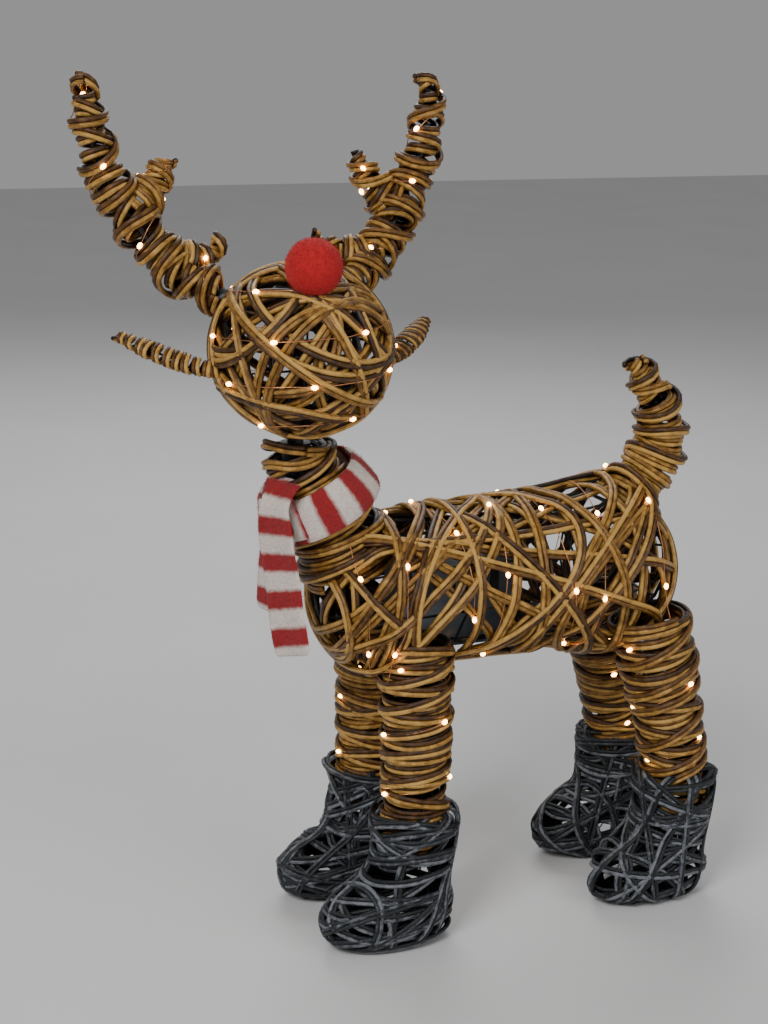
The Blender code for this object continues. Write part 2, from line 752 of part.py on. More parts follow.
def make_head_lights(pivot, lamp):
    """A string wound up inside the head, from the chin to the crown."""
    count, turns = 36, 3.6
    path = []
    for k in range(count):
        t = k / (count - 1)
        height = -0.72 + 1.44 * t
        flat = math.sqrt(1 - height * height)
        angle = 2 * math.pi * turns * t
        wide = (HEAD_HALF_WIDTH - HEAD_LED_INSET) * flat
        long = (HEAD_HALF_LENGTH - HEAD_LED_INSET) * flat
        rise = Z * ((HEAD_HALF_HEIGHT - HEAD_LED_INSET) * height)
        path.append(head_centre() + X * (wide * math.cos(angle)) + Y * (long * math.sin(angle)) + rise)
    led_string("led_string_head", path, 8, lamp, pivot)


def surface_along(start, way):
    """Where a ray from a point inside the head leaves its skin. Both are from the head's centre."""
    halves = HEAD_HALF_WIDTH, HEAD_HALF_LENGTH, HEAD_HALF_HEIGHT
    p = [start[i] / halves[i] for i in range(3)]
    d = [way[i] / halves[i] for i in range(3)]
    a = sum(x * x for x in d)
    b = sum(x * y for x, y in zip(p, d))
    c = sum(x * x for x in p) - 1
    return start + way * ((math.sqrt(b * b - a * c) - b) / a)


def make_nose(pivot, envelope, felt):
    way = Vector((-0.0085, -0.052, 0.077)).normalized()
    centre = head_centre() + surface_along(Vector(), way) + way * (NOSE_RADIUS - NOSE_SINK)
    bm = bmesh.new()
    bmesh.ops.create_icosphere(bm, subdivisions=3, radius=NOSE_RADIUS)
    mesh = bpy.data.meshes.new("nose")
    bm.to_mesh(mesh)
    bm.free()
    nose = link("nose", mesh, felt, pivot, centre)
    boolean(nose, envelope)


def make_ear(pivot, word, side, envelope, rattan, steel):
    root = head_centre() + X * (side * (HEAD_HALF_WIDTH - 0.006))
    bends = ((0, 0.002, -0.016), (0.028, 0.020, -0.009), (0.052, 0.040, 0.000), (0.073, 0.064, 0.009))
    path = smooth_path([root + Vector((side * x, y, z)) for x, y, z in bends], 7)
    wide = share([0.010, 0.014, 0.0135, 0.008], 7)
    thick = share([0.0075, 0.0075, 0.007, 0.0055], 7)
    solid = sleeve(f"ear_weave_{word}", path, list(zip(wide, thick)), 8, 0.0035, True)
    weave = link(f"ear_weave_{word}", solid, rattan, pivot)
    boolean(weave, envelope)
    wire(f"ear_frame_{word}", path[2:5], 0.0011, steel, pivot, sides=1)


def antler_peg(side):
    """Where the antler's peg leaves the head's skin, and the way it points."""
    way = Vector((side * 0.52, 0.44, 0.73)).normalized()
    inside = Vector((side * 0.030, 0.030, 0.008))
    return head_centre() + surface_along(inside, way), way


def make_antler(pivot, word, side, head_weave, head_frame, envelope, rattan, steel, lamp, black):
    """The antler's own points are from the place where its peg leaves the head."""
    base, way = antler_peg(side)

    def at(x, y, z):
        return Vector((side * x, y, z))

    beam = smooth_path(
        [way * -0.012, at(0.0364, 0.0203, 0.0226), at(0.0663, 0.0320, 0.0605), at(0.0896, 0.0469, 0.0967),
         at(0.1046, 0.0484, 0.1449), at(0.1053, 0.0545, 0.1862)],
        11,
    )
    beam_radii = share([0.86 * ANTLER_RADIUS, 0.95 * ANTLER_RADIUS, ANTLER_RADIUS, 0.91 * ANTLER_RADIUS,
                        0.80 * ANTLER_RADIUS, 0.50 * ANTLER_RADIUS], 11)
    low = [beam[3], at(0.0139, 0.0290, 0.0307), at(-0.0097, 0.0399, 0.0469)]
    mid = [beam[5], at(0.0527, 0.0467, 0.0881), at(0.0363, 0.0525, 0.1180)]
    solid = loft("antler", tube_rings(beam, beam_radii, 8))
    weave = link(f"antler_weave_{word}", solid, rattan, pivot, base)
    tines = (
        ("low", low, (0.64 * ANTLER_RADIUS, 0.70 * ANTLER_RADIUS, 0.41 * ANTLER_RADIUS)),
        ("mid", mid, (0.68 * ANTLER_RADIUS, 0.77 * ANTLER_RADIUS, 0.45 * ANTLER_RADIUS)),
    )
    for name, path, radii in tines:
        tine = loft(name, tube_rings(path, radii, 8))
        boolean(weave, helper(f"{name} tine {word}", tine, weave), "UNION")
    bore_path = [way * -0.02, *beam[:-1]]
    bore_rings = tube_rings(bore_path, [beam_radii[0], *beam_radii[:-1]], 8, WEAVE_WALL)
    boolean(weave, helper(f"antler hollow {word}", loft("hollow", bore_rings), weave))
    boolean(weave, envelope)
    make_peg_socket(pivot, word, base, way, head_weave, head_frame, black)
    spine = [way * -PEG_DEPTH, way * 0.008, *beam[2:9]]
    wire(f"antler_frame_{word}", spine, PEG_RADIUS, steel, pivot, base, sides=2)
    climb = smooth_path(beam[2:9], 22)
    reach = PEG_RADIUS + LED_BULB + 0.0035
    coil = []
    for k, (centre, (u, v)) in enumerate(zip(climb, frames_along(climb))):
        angle = 2 * math.pi * k / 7
        coil.append(centre + u * (reach * math.cos(angle)) + v * (reach * math.sin(angle)))
    strand = led_string(f"led_string_antler_{word}", coil, 3, lamp, pivot)
    strand.location = base


def make_peg_socket(pivot, word, base, way, head_weave, head_frame, black):
    """A short tube below the head's skin, with room for it cut through the weave and the frame."""
    bore_radius = PEG_RADIUS + PEG_CLEARANCE
    foot = base - way * (PEG_DEPTH + 0.002)
    socket = cylinder(f"antler_socket_{word}", foot, base - way * 0.0015, bore_radius + SOCKET_TUBE, 12,
                      black, pivot)
    bore = cylinder(f"peg bore {word}", base - way * (PEG_DEPTH + GAP), base + way * 0.01, bore_radius, 12,
                    None, pivot)
    hide(bore)
    boolean(socket, bore)
    room = cylinder(f"socket room {word}", foot - way * 0.002, base + way * 0.02,
                    bore_radius + SOCKET_TUBE + 0.0006, 12, None, pivot)
    hide(room)
    boolean(head_weave, room)
    boolean(head_frame, room)


def place_origin():
    """Moves the whole model so that its origin is at the middle of its base."""
    bpy.context.view_layer.update()
    graph = bpy.context.evaluated_depsgraph_get()
    corners = []
    for item in bpy.data.objects:
        if item.type in ("MESH", "CURVE") and not item.hide_render:
            shown = item.evaluated_get(graph)
            mesh = shown.to_mesh()
            corners += [shown.matrix_world @ v.co for v in mesh.vertices]
            shown.to_mesh_clear()
    low = Vector([min(c[i] for c in corners) for i in range(3)])
    high = Vector([max(c[i] for c in corners) for i in range(3)])
    shift = Vector((-(low.x + high.x) / 2, -(low.y + high.y) / 2, -low.z))
    for item in bpy.data.objects:
        if item.parent is None:
            item.location += shift


def main():
    clear_scene()
    rattan = material("rattan", (0.42, 0.24, 0.10), 0.55)
    steel = material("black_steel", (0.03, 0.03, 0.032), 0.4, 0.8)
    charcoal = material("charcoal_rattan", (0.035, 0.04, 0.045), 0.6)
    grey = material("box_plastic", (0.05, 0.065, 0.08), 0.5)
    black = material("black_plastic", (0.02, 0.02, 0.02), 0.5)
    felt = material("red_felt", (0.55, 0.01, 0.02), 0.95)
    fleece = material("striped_fleece", (0.6, 0.2, 0.2), 0.95)
    lamp = material("warm_led", (1.0, 0.75, 0.35), 0.3)
    cell_colour = material("battery_wrap", (0.1, 0.25, 0.12), 0.4)
    rubber = material("seal_foam", (0.08, 0.08, 0.08), 0.9)
    board = material("circuit_board", (0.02, 0.16, 0.07), 0.5)
    make_torso(rattan, steel)
    envelope = torso_envelope(TORSO_SKIN)
    legs = (
        ("front", FRONT_LEG_Y, 0.0, FRONT_THIGH_RADIUS),
        ("rear", REAR_LEG_Y, REAR_LEG_RAKE, REAR_THIGH_RADIUS),
    )
    for end, y, rake, thigh in legs:
        for hand, side in (("left", 1), ("right", -1)):
            name = f"{end}_{hand}"
            make_leg(name, side, y, rake, thigh, envelope, rattan, steel, lamp)
            make_boot(name, side, y, charcoal)
    make_neck(envelope, rattan, steel, black)
    make_tail(envelope, rattan, steel)
    make_box(grey, steel, cell_colour, rubber, board)
    make_switch(black)
    make_body_lights(lamp)
    make_scarf(envelope, fleece)
    pivot = bpy.data.objects.new("head_pivot", None)
    bpy.context.scene.collection.objects.link(pivot)
    pivot.location = (0, SWIVEL_Y, NECK_TOP)
    pivot.rotation_euler = (0, 0, HEAD_TURN)
    weave, frame = make_head(pivot, rattan, steel, black)
    clear = head_envelope(pivot, HEAD_SKIN)
    make_head_lights(pivot, lamp)
    make_nose(pivot, clear, felt)
    for hand, side in (("left", 1), ("right", -1)):
        make_ear(pivot, hand, side, clear, rattan, steel)
        make_antler(pivot, hand, side, weave, frame, clear, rattan, steel, lamp, black)
    place_origin()


main()
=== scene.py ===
"""Looks for the lit woven reindeer: rattan wrap, boots, lights, felt nose and fleece scarf."""

import json
import math

import bmesh
import bpy
import numpy as np
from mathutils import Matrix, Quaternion, Vector, noise
from mathutils.bvhtree import BVHTree
from mathutils.kdtree import KDTree


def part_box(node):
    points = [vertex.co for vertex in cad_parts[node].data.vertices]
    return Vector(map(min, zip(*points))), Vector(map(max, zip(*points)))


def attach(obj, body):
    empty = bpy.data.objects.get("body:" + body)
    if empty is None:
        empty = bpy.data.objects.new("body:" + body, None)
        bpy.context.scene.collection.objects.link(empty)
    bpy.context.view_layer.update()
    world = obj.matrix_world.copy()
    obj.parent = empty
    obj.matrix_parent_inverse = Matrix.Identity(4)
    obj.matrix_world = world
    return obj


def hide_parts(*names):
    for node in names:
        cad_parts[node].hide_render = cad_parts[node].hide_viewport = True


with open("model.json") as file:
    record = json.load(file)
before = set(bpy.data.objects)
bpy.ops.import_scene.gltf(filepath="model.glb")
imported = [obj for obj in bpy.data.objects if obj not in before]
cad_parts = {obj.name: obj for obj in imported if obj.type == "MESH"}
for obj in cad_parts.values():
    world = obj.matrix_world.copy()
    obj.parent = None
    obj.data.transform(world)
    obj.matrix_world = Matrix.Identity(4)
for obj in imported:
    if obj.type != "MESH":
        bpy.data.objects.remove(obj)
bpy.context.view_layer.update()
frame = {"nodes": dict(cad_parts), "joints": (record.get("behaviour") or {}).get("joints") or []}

RIDGE = 0.0023            # radius of one of a strip's two strands
STRIP = 4 * RIDGE         # width of a strip
STEP = 0.0052             # distance between the rings of a strip
RIDGE_SIDES = 8
LIFT = 1.75 * RIDGE       # how far a strip rises to pass over another
MOST_LIFT = 0.0095        # the deepest stack of strips, from the first layer up
BEDDING = 0.0050          # the first layer lies this far inside the CAD skin
BULB = 0.0021             # radius of a bulb
WIRE = 0.00042            # radius of the copper wire
EAR_RIDGE = 0.0019
BOOT_RIDGE = 0.0020

rng = np.random.default_rng(20)


# Vectors


def unit(v):
    v = np.asarray(v, float)
    return v / np.maximum(np.linalg.norm(v, axis=-1, keepdims=True), 1e-12)


def resample(points, step, closed=False):
    """The same line with points an even step apart."""
    points = np.asarray(points, float)
    if closed:
        points = np.vstack([points, points[:1]])
    lengths = np.concatenate([[0], np.cumsum(np.linalg.norm(np.diff(points, axis=0), axis=1))])
    count = max(int(round(lengths[-1] / step)), 4)
    at = np.linspace(0, lengths[-1], count + 1)
    out = np.stack([np.interp(at, lengths, points[:, i]) for i in range(3)], axis=1)
    return out[:-1] if closed else out


def smoothed(values, passes, closed):
    values = np.asarray(values, float)
    for _ in range(passes):
        if closed:
            before, after = np.roll(values, 1, axis=0), np.roll(values, -1, axis=0)
        else:
            before = np.concatenate([values[:1], values[:-1]])
            after = np.concatenate([values[1:], values[-1:]])
        values = 0.5 * values + 0.25 * (before + after)
    return values


def spline(points, count):
    """A Catmull-Rom curve through a few chosen points."""
    points = np.asarray(points, float)
    ends = np.vstack([2 * points[0] - points[1], points, 2 * points[-1] - points[-2]])
    place = np.linspace(0, len(points) - 1, count)
    i = np.minimum(place.astype(int), len(points) - 2)
    t = (place - i)[:, None]
    a, b, c, d = ends[i], ends[i + 1], ends[i + 2], ends[i + 3]
    return 0.5 * (2 * b + (c - a) * t + (2 * a - 5 * b + 4 * c - d) * t**2 + (3 * b - 3 * c + d - a) * t**3)


def carried_frames(path, side=None):
    """Tangent, side and up at each point of a line, without twist."""
    tangents = unit(np.gradient(path, axis=0))
    if side is None:
        side = np.array([1.0, 0, 0]) if abs(tangents[0][0]) < 0.9 else np.array([0, 1.0, 0])
    sides = []
    for t in tangents:
        side = unit(side - t * np.dot(side, t))
        sides.append(side)
    sides = np.array(sides)
    return tangents, sides, np.cross(tangents, sides)


# Forms that the strips are wound on


class Solid:
    """A closed form given by a function that is below 1 inside it, wound by loops cut by planes."""

    def __init__(self, level, bedding=BEDDING):
        self.level = level
        self.bedding = bedding

    def hit(self, centre, ways):
        """Where rays from a point inside first leave the form."""
        reach = np.full(len(ways), 0.004)
        inside = np.ones(len(ways), bool)
        for _ in range(160):
            further = reach + 0.0025
            now = self.level(centre + ways * further[:, None]) < 1
            inside &= now
            reach = np.where(inside, further, reach)
            if not inside.any():
                break
        low, high = reach, reach + 0.0025
        for _ in range(8):
            middle = (low + high) / 2
            inner = self.level(centre + ways * middle[:, None]) < 1
            low, high = np.where(inner, middle, low), np.where(inner, high, middle)
        return centre + ways * low[:, None]

    def normals(self, points):
        out = np.zeros_like(points)
        for axis in range(3):
            shift = np.zeros(3)
            shift[axis] = 0.0015
            out[:, axis] = self.bounded(points + shift) - self.bounded(points - shift)
        return unit(out)

    def bounded(self, points):
        return np.minimum(self.level(points), 4.0)

    def loop(self, centre, normal):
        """One turn of strip round the form, in the plane through centre."""
        normal = unit(normal)
        a = unit(np.cross(normal, [0.31, 0.52, 0.79]))
        b = np.cross(normal, a)
        turns = np.linspace(0, 2 * math.pi, 160, endpoint=False)
        ways = np.outer(np.cos(turns), a) + np.outer(np.sin(turns), b)
        points = resample(smoothed(self.hit(centre, ways), 2, True), STEP, True)
        normals = unit(smoothed(self.normals(points), 3, True))
        return points - normals * self.bedding, normals, True


class Limb:
    """A tapering round form along a line, wound by tilted turns."""

    def __init__(self, points, radii, bedding=BEDDING, flat=1.0, side=None):
        self.flat = flat
        self.path = resample(spline(points, 120), 0.002)
        self.length = 0.002 * (len(self.path) - 1)
        share = np.linspace(0, len(radii) - 1, len(self.path))
        self.radius = np.interp(share, range(len(radii)), radii) - bedding
        self.tangents, self.sides, self.ups = carried_frames(self.path, side)

    def at(self, along, turn):
        """Points on the form and their outward ways, from places along it and turns round it."""
        place = np.clip(along, 0, self.length) / self.length * (len(self.path) - 1)

        def pick(rows):
            return np.stack([np.interp(place, range(len(rows)), rows[:, i]) for i in range(3)], axis=1)

        out = unit(pick(self.sides)) * np.cos(turn)[:, None]
        out = out + unit(pick(self.ups)) * self.flat * np.sin(turn)[:, None]
        radius = np.interp(place, range(len(self.radius)), self.radius)
        beyond = np.clip(along, 0, self.length) - along
        return pick(self.path) + out * radius[:, None] - pick(self.tangents) * beyond[:, None], out

    def winding(self, start, stop, pitch, tilt):
        """Turns of one strip from start to stop, each turn tilted its own way."""
        turns = abs(stop - start) / pitch
        count = max(int(turns * 40), 30)
        turn = np.linspace(0, turns * 2 * math.pi, count) + rng.uniform(0, 6.28)
        knots = max(int(turns * 1.4), 3)
        share = np.linspace(0, knots - 1, count)
        lean = np.interp(share, range(knots), rng.uniform(0.4, 1.0, knots) * tilt)
        way = np.interp(share, range(knots), np.cumsum(rng.uniform(-1.3, 1.3, knots)))
        drift = np.interp(share, range(knots), rng.uniform(-0.4, 0.4, knots) * pitch)
        radius = float(np.mean(self.radius))
        along = np.linspace(start, stop, count) + drift + radius * np.tan(lean) * np.cos(turn + way)
        along = np.clip(along, 0.002, self.length - 0.001)
        points, _ = self.at(along, turn)
        points = resample(points, STEP)
        normals = self.outwards(points)
        return points, normals, False

    def outwards(self, points):
        gaps = np.linalg.norm(points[:, None, :] - self.path[None, ::4, :], axis=2)
        nearest = self.path[::4][gaps.argmin(axis=1)]
        tangent = self.tangents[::4][gaps.argmin(axis=1)]
        away = points - nearest
        away -= tangent * np.sum(away * tangent, axis=1, keepdims=True)
        return unit(smoothed(unit(away), 2, False))


# Winding: each strip lies on those wound before it


class Wrap:
    """Strips wound one after another on one form, as one mesh."""

    def __init__(self, most=MOST_LIFT):
        self.bases, self.heights, self.strips, self.most = [], [], [], most

    def add(self, points, normals, closed):
        """Lays one strip over those already wound, bending it up before each crossing."""
        need = np.zeros(len(points))
        if self.bases:
            placed = np.vstack(self.bases)
            lifts = np.concatenate(self.heights)
            tree = KDTree(len(placed))
            for i, p in enumerate(placed):
                tree.insert(p, i)
            tree.balance()
            reach = 0.95 * STRIP
            for i, p in enumerate(points):
                for _, j, gap in tree.find_range(p, reach):
                    need[i] = max(need[i], lifts[j] + LIFT * (1 - (gap / reach) ** 2) ** 0.5)
        need = np.minimum(need, self.most - 0.002 * rng.random())
        height = need.copy()
        for _ in range(10):
            height = np.maximum(need * 0.97, smoothed(height, 2, closed))
        height = smoothed(height, 2, closed)
        self.bases.append(points)
        self.heights.append(height)
        self.strips.append((points + normals * height[:, None], normals, closed, rng.random()))

    def mesh(self, name, body, slot, material, replaced, ridge=RIDGE, floor=-1.0):
        """Two tubes for each strip, none lower than floor, with the values that its material reads."""
        verts, faces, tones, alongs, rounds = [], [], [], [], []
        for line, normals, closed, tone in self.strips:
            line = smoothed(line, 1, closed)
            ahead, behind = np.roll(line, -1, 0), np.roll(line, 1, 0)
            tangent = unit(ahead - behind if closed else np.gradient(line, axis=0))
            side = unit(np.cross(tangent, normals))
            up = np.cross(side, tangent)
            along = np.arange(len(line)) * STEP + tone * 7.3
            roll = 0.22 * math.sin(tone * 40)
            wobble = 1 + 0.05 * np.sin(along * 61 + tone * 9)
            for hand in (-1, 1):
                centre = line + side * (hand * ridge * 0.96) + up * (hand * roll * ridge)
                centre[:, 2] = np.maximum(centre[:, 2], floor)
                strand = len(verts)
                self.tube(verts, faces, centre, side, up, ridge * wobble, closed)
                added = len(verts) - strand
                pale, dark = 0.84 + 0.12 * math.sin(tone * 23), 0.46 + 0.20 * math.cos(tone * 31)
                tones += [pale if hand > 0 else dark] * added
                alongs += list(np.repeat(along, RIDGE_SIDES))
                rounds += list(np.tile(np.arange(RIDGE_SIDES) / RIDGE_SIDES, len(line)))
        item = mesh_object(name, verts, faces, material)
        for word, values in (("tone", tones), ("along", alongs), ("round", rounds)):
            give_values(item.data, word, values)
        place(item, body, slot, *replaced)
        return item

    @staticmethod
    def tube(verts, faces, centre, side, up, radius, closed):
        start, count, sides = len(verts), len(centre), RIDGE_SIDES
        turns = np.arange(sides) * 2 * math.pi / sides
        ring = side[:, None, :] * np.cos(turns)[None, :, None]
        ring = ring + up[:, None, :] * np.sin(turns)[None, :, None]
        verts.extend((centre[:, None, :] + ring * radius[:, None, None]).reshape(-1, 3))
        for i in range(count if closed else count - 1):
            a, b = start + i * sides, start + (i + 1) % count * sides
            for k in range(sides):
                faces.append((a + k, a + (k + 1) % sides, b + (k + 1) % sides, b + k))
        if not closed:
            faces.append(tuple(start + k for k in range(sides))[::-1])
            faces.append(tuple(start + (count - 1) * sides + k for k in range(sides)))


def give_values(mesh, name, values):
    """A number for each vertex, which a material reads by its name."""
    data = mesh.attributes.new(name, "FLOAT", "POINT").data
    data.foreach_set("value", np.array(values, np.float32))


def mesh_object(name, verts, faces, material):
    mesh = bpy.data.meshes.new(name)
    mesh.from_pydata([tuple(v) for v in verts], [], faces)
    mesh.validate()
    mesh.shade_smooth()
    mesh.materials.append(material)
    item = bpy.data.objects.new(name, mesh)
    bpy.context.scene.collection.objects.link(item)
    return item


def place(item, body, slot, *nodes):
    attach(item, body)
    if nodes:
        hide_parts(*nodes)
    return item


# Where things are, from the frame


def joint(name):
    return next(j for j in frame["joints"] if j["name"] == name)


SWIVEL = np.array(joint("head_turn")["pos_m"])
SHIFT = SWIVEL - np.array([0, -0.228, 0.458])   # from the design's own origin to the frame's
HEAD_CENTRE = SWIVEL + np.array([0.012, 0, 0.087])
HEAD_SIZE = np.array([0.090, 0.076, 0.074])
LEG_SPREAD, LEG_RADIUS = 0.056, 0.031
FRONT_LEG, REAR_LEG, REAR_RAKE = -0.131, 0.141, 0.034
LEGS = {"front_left": (1, FRONT_LEG, 0.0), "front_right": (-1, FRONT_LEG, 0.0),
        "rear_left": (1, REAR_LEG, REAR_RAKE), "rear_right": (-1, REAR_LEG, REAR_RAKE)}
TORSO_FRONT, TORSO_LENGTH, TORSO_AXIS = -0.217, 0.366, 0.321


def torso_level(points):
    """Below 1 inside the torso: round sections that draw in at the ends and waist."""
    p = points - SHIFT
    t = (p[:, 1] - TORSO_FRONT) / TORSO_LENGTH
    end = np.minimum(1.0, np.sin(np.pi * np.clip(t, 0.004, 0.996)) * 2.6) ** 0.55
    haunch = 0.010 * np.exp(-(((t - 0.84) / 0.16) ** 2))
    waist = -0.004 * np.exp(-(((t - 0.45) / 0.2) ** 2))
    wide, tall = (0.083 + waist) * end, (0.073 + waist + haunch) * end
    level = (p[:, 0] / wide) ** 2 + ((p[:, 2] - TORSO_AXIS - 0.004 * t) / tall) ** 2
    return np.where((t < 0.0) | (t > 1.0), 9.0, level)


def head_level(points):
    return np.sum(((points - HEAD_CENTRE) / HEAD_SIZE) ** 2, axis=1)


# A boot's sections: height, reach forward, and half width and half length as shares of its radius
BOOT_RADIUS, BOOT_TOP = 0.041, 0.130
BOOT = np.array([(0.0, 0.020, 0.54, 1.04), (0.012, 0.025, 0.82, 1.48), (0.033, 0.026, 0.90, 1.58),
                 (0.050, 0.020, 0.87, 1.36), (0.061, 0.010, 0.86, 1.08), (0.073, 0.003, 0.88, 0.92),
                 (0.098, 0.0, 0.93, 0.93), (BOOT_TOP, 0.0, 1.0, 1.0)])


def boot_level(centre):
    def level(points):
        p = points - centre
        forward, wide, long = (np.interp(p[:, 2], BOOT[:, 0], BOOT[:, column]) for column in (1, 2, 3))
        value = (p[:, 0] / (BOOT_RADIUS * wide)) ** 2 + ((p[:, 1] + forward) / (BOOT_RADIUS * long)) ** 2
        return np.where((p[:, 2] < 0.0) | (p[:, 2] > BOOT_TOP), 9.0, value)
    return level


def head_points(side, rows):
    """Points given in the head's own frame: sideways, backwards and up from its centre."""
    return [HEAD_CENTRE + np.array([-back, side * out, up]) for out, back, up in rows]


# Materials


class Shader:
    """A Principled material with short calls for its nodes."""

    def __init__(self, name, roughness=0.5, **sockets):
        self.made = bpy.data.materials.new(name)
        self.made.use_nodes = True
        self.nodes, self.links = self.made.node_tree.nodes, self.made.node_tree.links
        self.bsdf = self.nodes["Principled BSDF"]
        self.bsdf.inputs["Roughness"].default_value = roughness
        for socket, value in sockets.items():
            self.bsdf.inputs[socket.replace("_", " ")].default_value = value

    def node(self, kind, inputs=None, **settings):
        made = self.nodes.new(kind)
        for word, value in settings.items():
            setattr(made, word, value)
        for word, value in (inputs or {}).items():
            if isinstance(value, bpy.types.NodeSocket):
                self.links.new(value, made.inputs[word])
            else:
                made.inputs[word].default_value = value
        return made

    def attribute(self, name):
        return self.node("ShaderNodeAttribute", attribute_name=name).outputs["Fac"]

    def math(self, operation, a, b=0.0):
        return self.node("ShaderNodeMath", {0: a, 1: b}, operation=operation).outputs[0]

    def noise(self, scale, vector=None, detail=4.0, rough=0.55):
        inputs = {"Scale": scale, "Detail": detail, "Roughness": rough}
        inputs["Vector"] = vector or self.node("ShaderNodeTexCoord").outputs["Object"]
        return self.node("ShaderNodeTexNoise", inputs).outputs["Fac"]

    def ramp(self, value, stops):
        made = self.node("ShaderNodeValToRGB", {"Fac": value})
        while len(made.color_ramp.elements) < len(stops):
            made.color_ramp.elements.new(0.5)
        for element, (at, colour) in zip(made.color_ramp.elements, stops):
            element.position = at
            element.color = (*colour, 1.0)
        return made.outputs["Color"]

    def colour(self, value):
        self.links.new(value, self.bsdf.inputs["Base Color"])

    def roughness(self, value, low, high):
        made = self.node("ShaderNodeMapRange", {"Value": value, "To Min": low, "To Max": high})
        self.links.new(made.outputs["Result"], self.bsdf.inputs["Roughness"])

    def bump(self, height, distance, strength=0.6):
        made = self.node("ShaderNodeBump", {"Height": height, "Distance": distance, "Strength": strength})
        self.links.new(made.outputs["Normal"], self.bsdf.inputs["Normal"])


def strip_material(name, stops, low, high, painted_glint_strength=0.0):
    """Extruded resin strip: long streaks, a tone for each strand, scuffs and a satin shine; painted shade
    darkens each strand's sides and underside, and painted glints are added when asked.
    """
    s = Shader(name)
    tone, along, round_ = s.attribute("tone"), s.attribute("along"), s.attribute("round")
    turn = s.math("MULTIPLY", round_, 2 * math.pi)
    vector = s.node("ShaderNodeCombineXYZ", {
        "X": s.math("MULTIPLY", along, 52.0),
        "Y": s.math("MULTIPLY", s.math("COSINE", turn), 2.6),
        "Z": s.math("MULTIPLY", s.math("SINE", turn), 2.6)}).outputs[0]
    streak = s.noise(2.2, vector, 5.0, 0.65)
    patch = s.noise(130.0, None, 4.0, 0.6)
    # painted shade: each strand is darker on its sides and underside and lightest along its outward top, as
    # if lit from outside
    painted_side_shade = s.node("ShaderNodeMapRange", {"Value": s.math("SINE", turn), "From Min": -0.55, "From Max": 0.75,
                                          "To Min": -0.42, "To Max": 0.06}).outputs["Result"]
    tone = s.math("ADD", tone, painted_side_shade)
    mixed = s.math("ADD", tone, s.math("MULTIPLY", s.math("SUBTRACT", streak, 0.5), 1.35))
    mixed = s.math("ADD", mixed, s.math("MULTIPLY", s.math("SUBTRACT", patch, 0.5), 0.95))
    # painted glints: small bright spots added to the strip's colour
    if painted_glint_strength:
        fine = s.noise(900.0, None, 1.0)
        painted_glint = s.node("ShaderNodeMapRange", {"Value": fine, "From Min": 0.70, "From Max": 0.76,
                                              "To Min": 0.0, "To Max": painted_glint_strength}).outputs["Result"]
        mixed = s.math("ADD", mixed, painted_glint)
    s.colour(s.ramp(mixed, stops))
    s.roughness(streak, low, high)
    s.bump(streak, 0.0009, 0.55)
    s.bsdf.inputs["Specular IOR Level"].default_value = 0.36
    return s.made


def rattan_material():
    return strip_material("rattan", [
        (0.0, (0.008, 0.003, 0.001)), (0.26, (0.036, 0.013, 0.003)), (0.52, (0.110, 0.045, 0.007)),
        (0.78, (0.270, 0.130, 0.020)), (1.0, (0.520, 0.300, 0.075))], 0.24, 0.50)


def charcoal_material():
    """The boots' dark strip, with fine painted glints that reach its palest stop."""
    return strip_material("charcoal_rattan", [
        (0.0, (0.002, 0.003, 0.004)), (0.5, (0.007, 0.009, 0.011)), (0.85, (0.018, 0.021, 0.026)),
        (1.0, (0.16, 0.17, 0.19))], 0.30, 0.60, 1.5)


def moulded_material(name, colour, worn, roughness=0.42, grain=900.0):
    """Moulded plastic or paint: a fine grain, faint scuffs and lighter wear."""
    s = Shader(name, roughness)
    wear = s.noise(60.0, None, 6.0, 0.7)
    s.colour(s.ramp(wear, [(0.35, colour), (0.72, worn)]))
    s.roughness(wear, roughness - 0.08, roughness + 0.16)
    s.bump(s.noise(grain, None, 2.0), 0.0002, 0.5)
    return s.made


def metal_material(name, colour, dull, roughness=0.3):
    """Bare metal with dull, rougher patches."""
    s = Shader(name, roughness, Metallic=1.0)
    tarnish = s.noise(140.0, None, 5.0)
    s.colour(s.ramp(tarnish, [(0.35, colour), (0.75, dull)]))
    s.roughness(tarnish, roughness, roughness + 0.25)
    s.bump(s.noise(1400.0, None, 2.0), 0.0001, 0.4)
    return s.made


def felt_material():
    """Matted wool."""
    s = Shader("red_felt", 0.95, Sheen_Weight=0.18, Sheen_Roughness=0.5)
    s.bsdf.inputs["Sheen Tint"].default_value = (1.0, 0.25, 0.22, 1.0)
    mat = s.noise(420.0, None, 6.0, 0.75)
    s.colour(s.ramp(mat, [(0.3, (0.24, 0.002, 0.004)), (0.55, (0.44, 0.005, 0.008)),
                          (0.8, (0.58, 0.014, 0.016))]))
    s.roughness(mat, 0.86, 1.0)
    s.bump(mat, 0.0010, 0.8)
    return s.made


def fleece_material():
    """Brushed fleece with soft-edged stripes across its length."""
    s = Shader("striped_fleece", 0.95, Sheen_Weight=0.06, Sheen_Roughness=0.6)
    pile = s.noise(520.0, None, 6.0, 0.8)
    edge = s.noise(160.0, None, 3.0)
    along = s.math("ADD", s.attribute("along"), s.math("MULTIPLY", s.math("SUBTRACT", edge, 0.5), 0.0032))
    wave = s.math("SINE", s.math("MULTIPLY", along, 2 * math.pi / STRIPE_REPEAT))
    stripe = s.math("ADD", s.math("MULTIPLY", wave, 1.4), 0.5)
    red = s.ramp(pile, [(0.3, (0.16, 0.003, 0.005)), (0.7, (0.36, 0.010, 0.014))])
    white = s.ramp(pile, [(0.3, (0.46, 0.38, 0.34)), (0.7, (0.80, 0.71, 0.65))])
    clamp = s.node("ShaderNodeClamp", {"Value": stripe}).outputs[0]
    mix = s.node("ShaderNodeMix", {0: clamp, 6: red, 7: white}, data_type="RGBA")
    s.colour(mix.outputs[2])
    s.roughness(pile, 0.86, 1.0)
    s.bump(pile, 0.0012, 0.8)
    return s.made


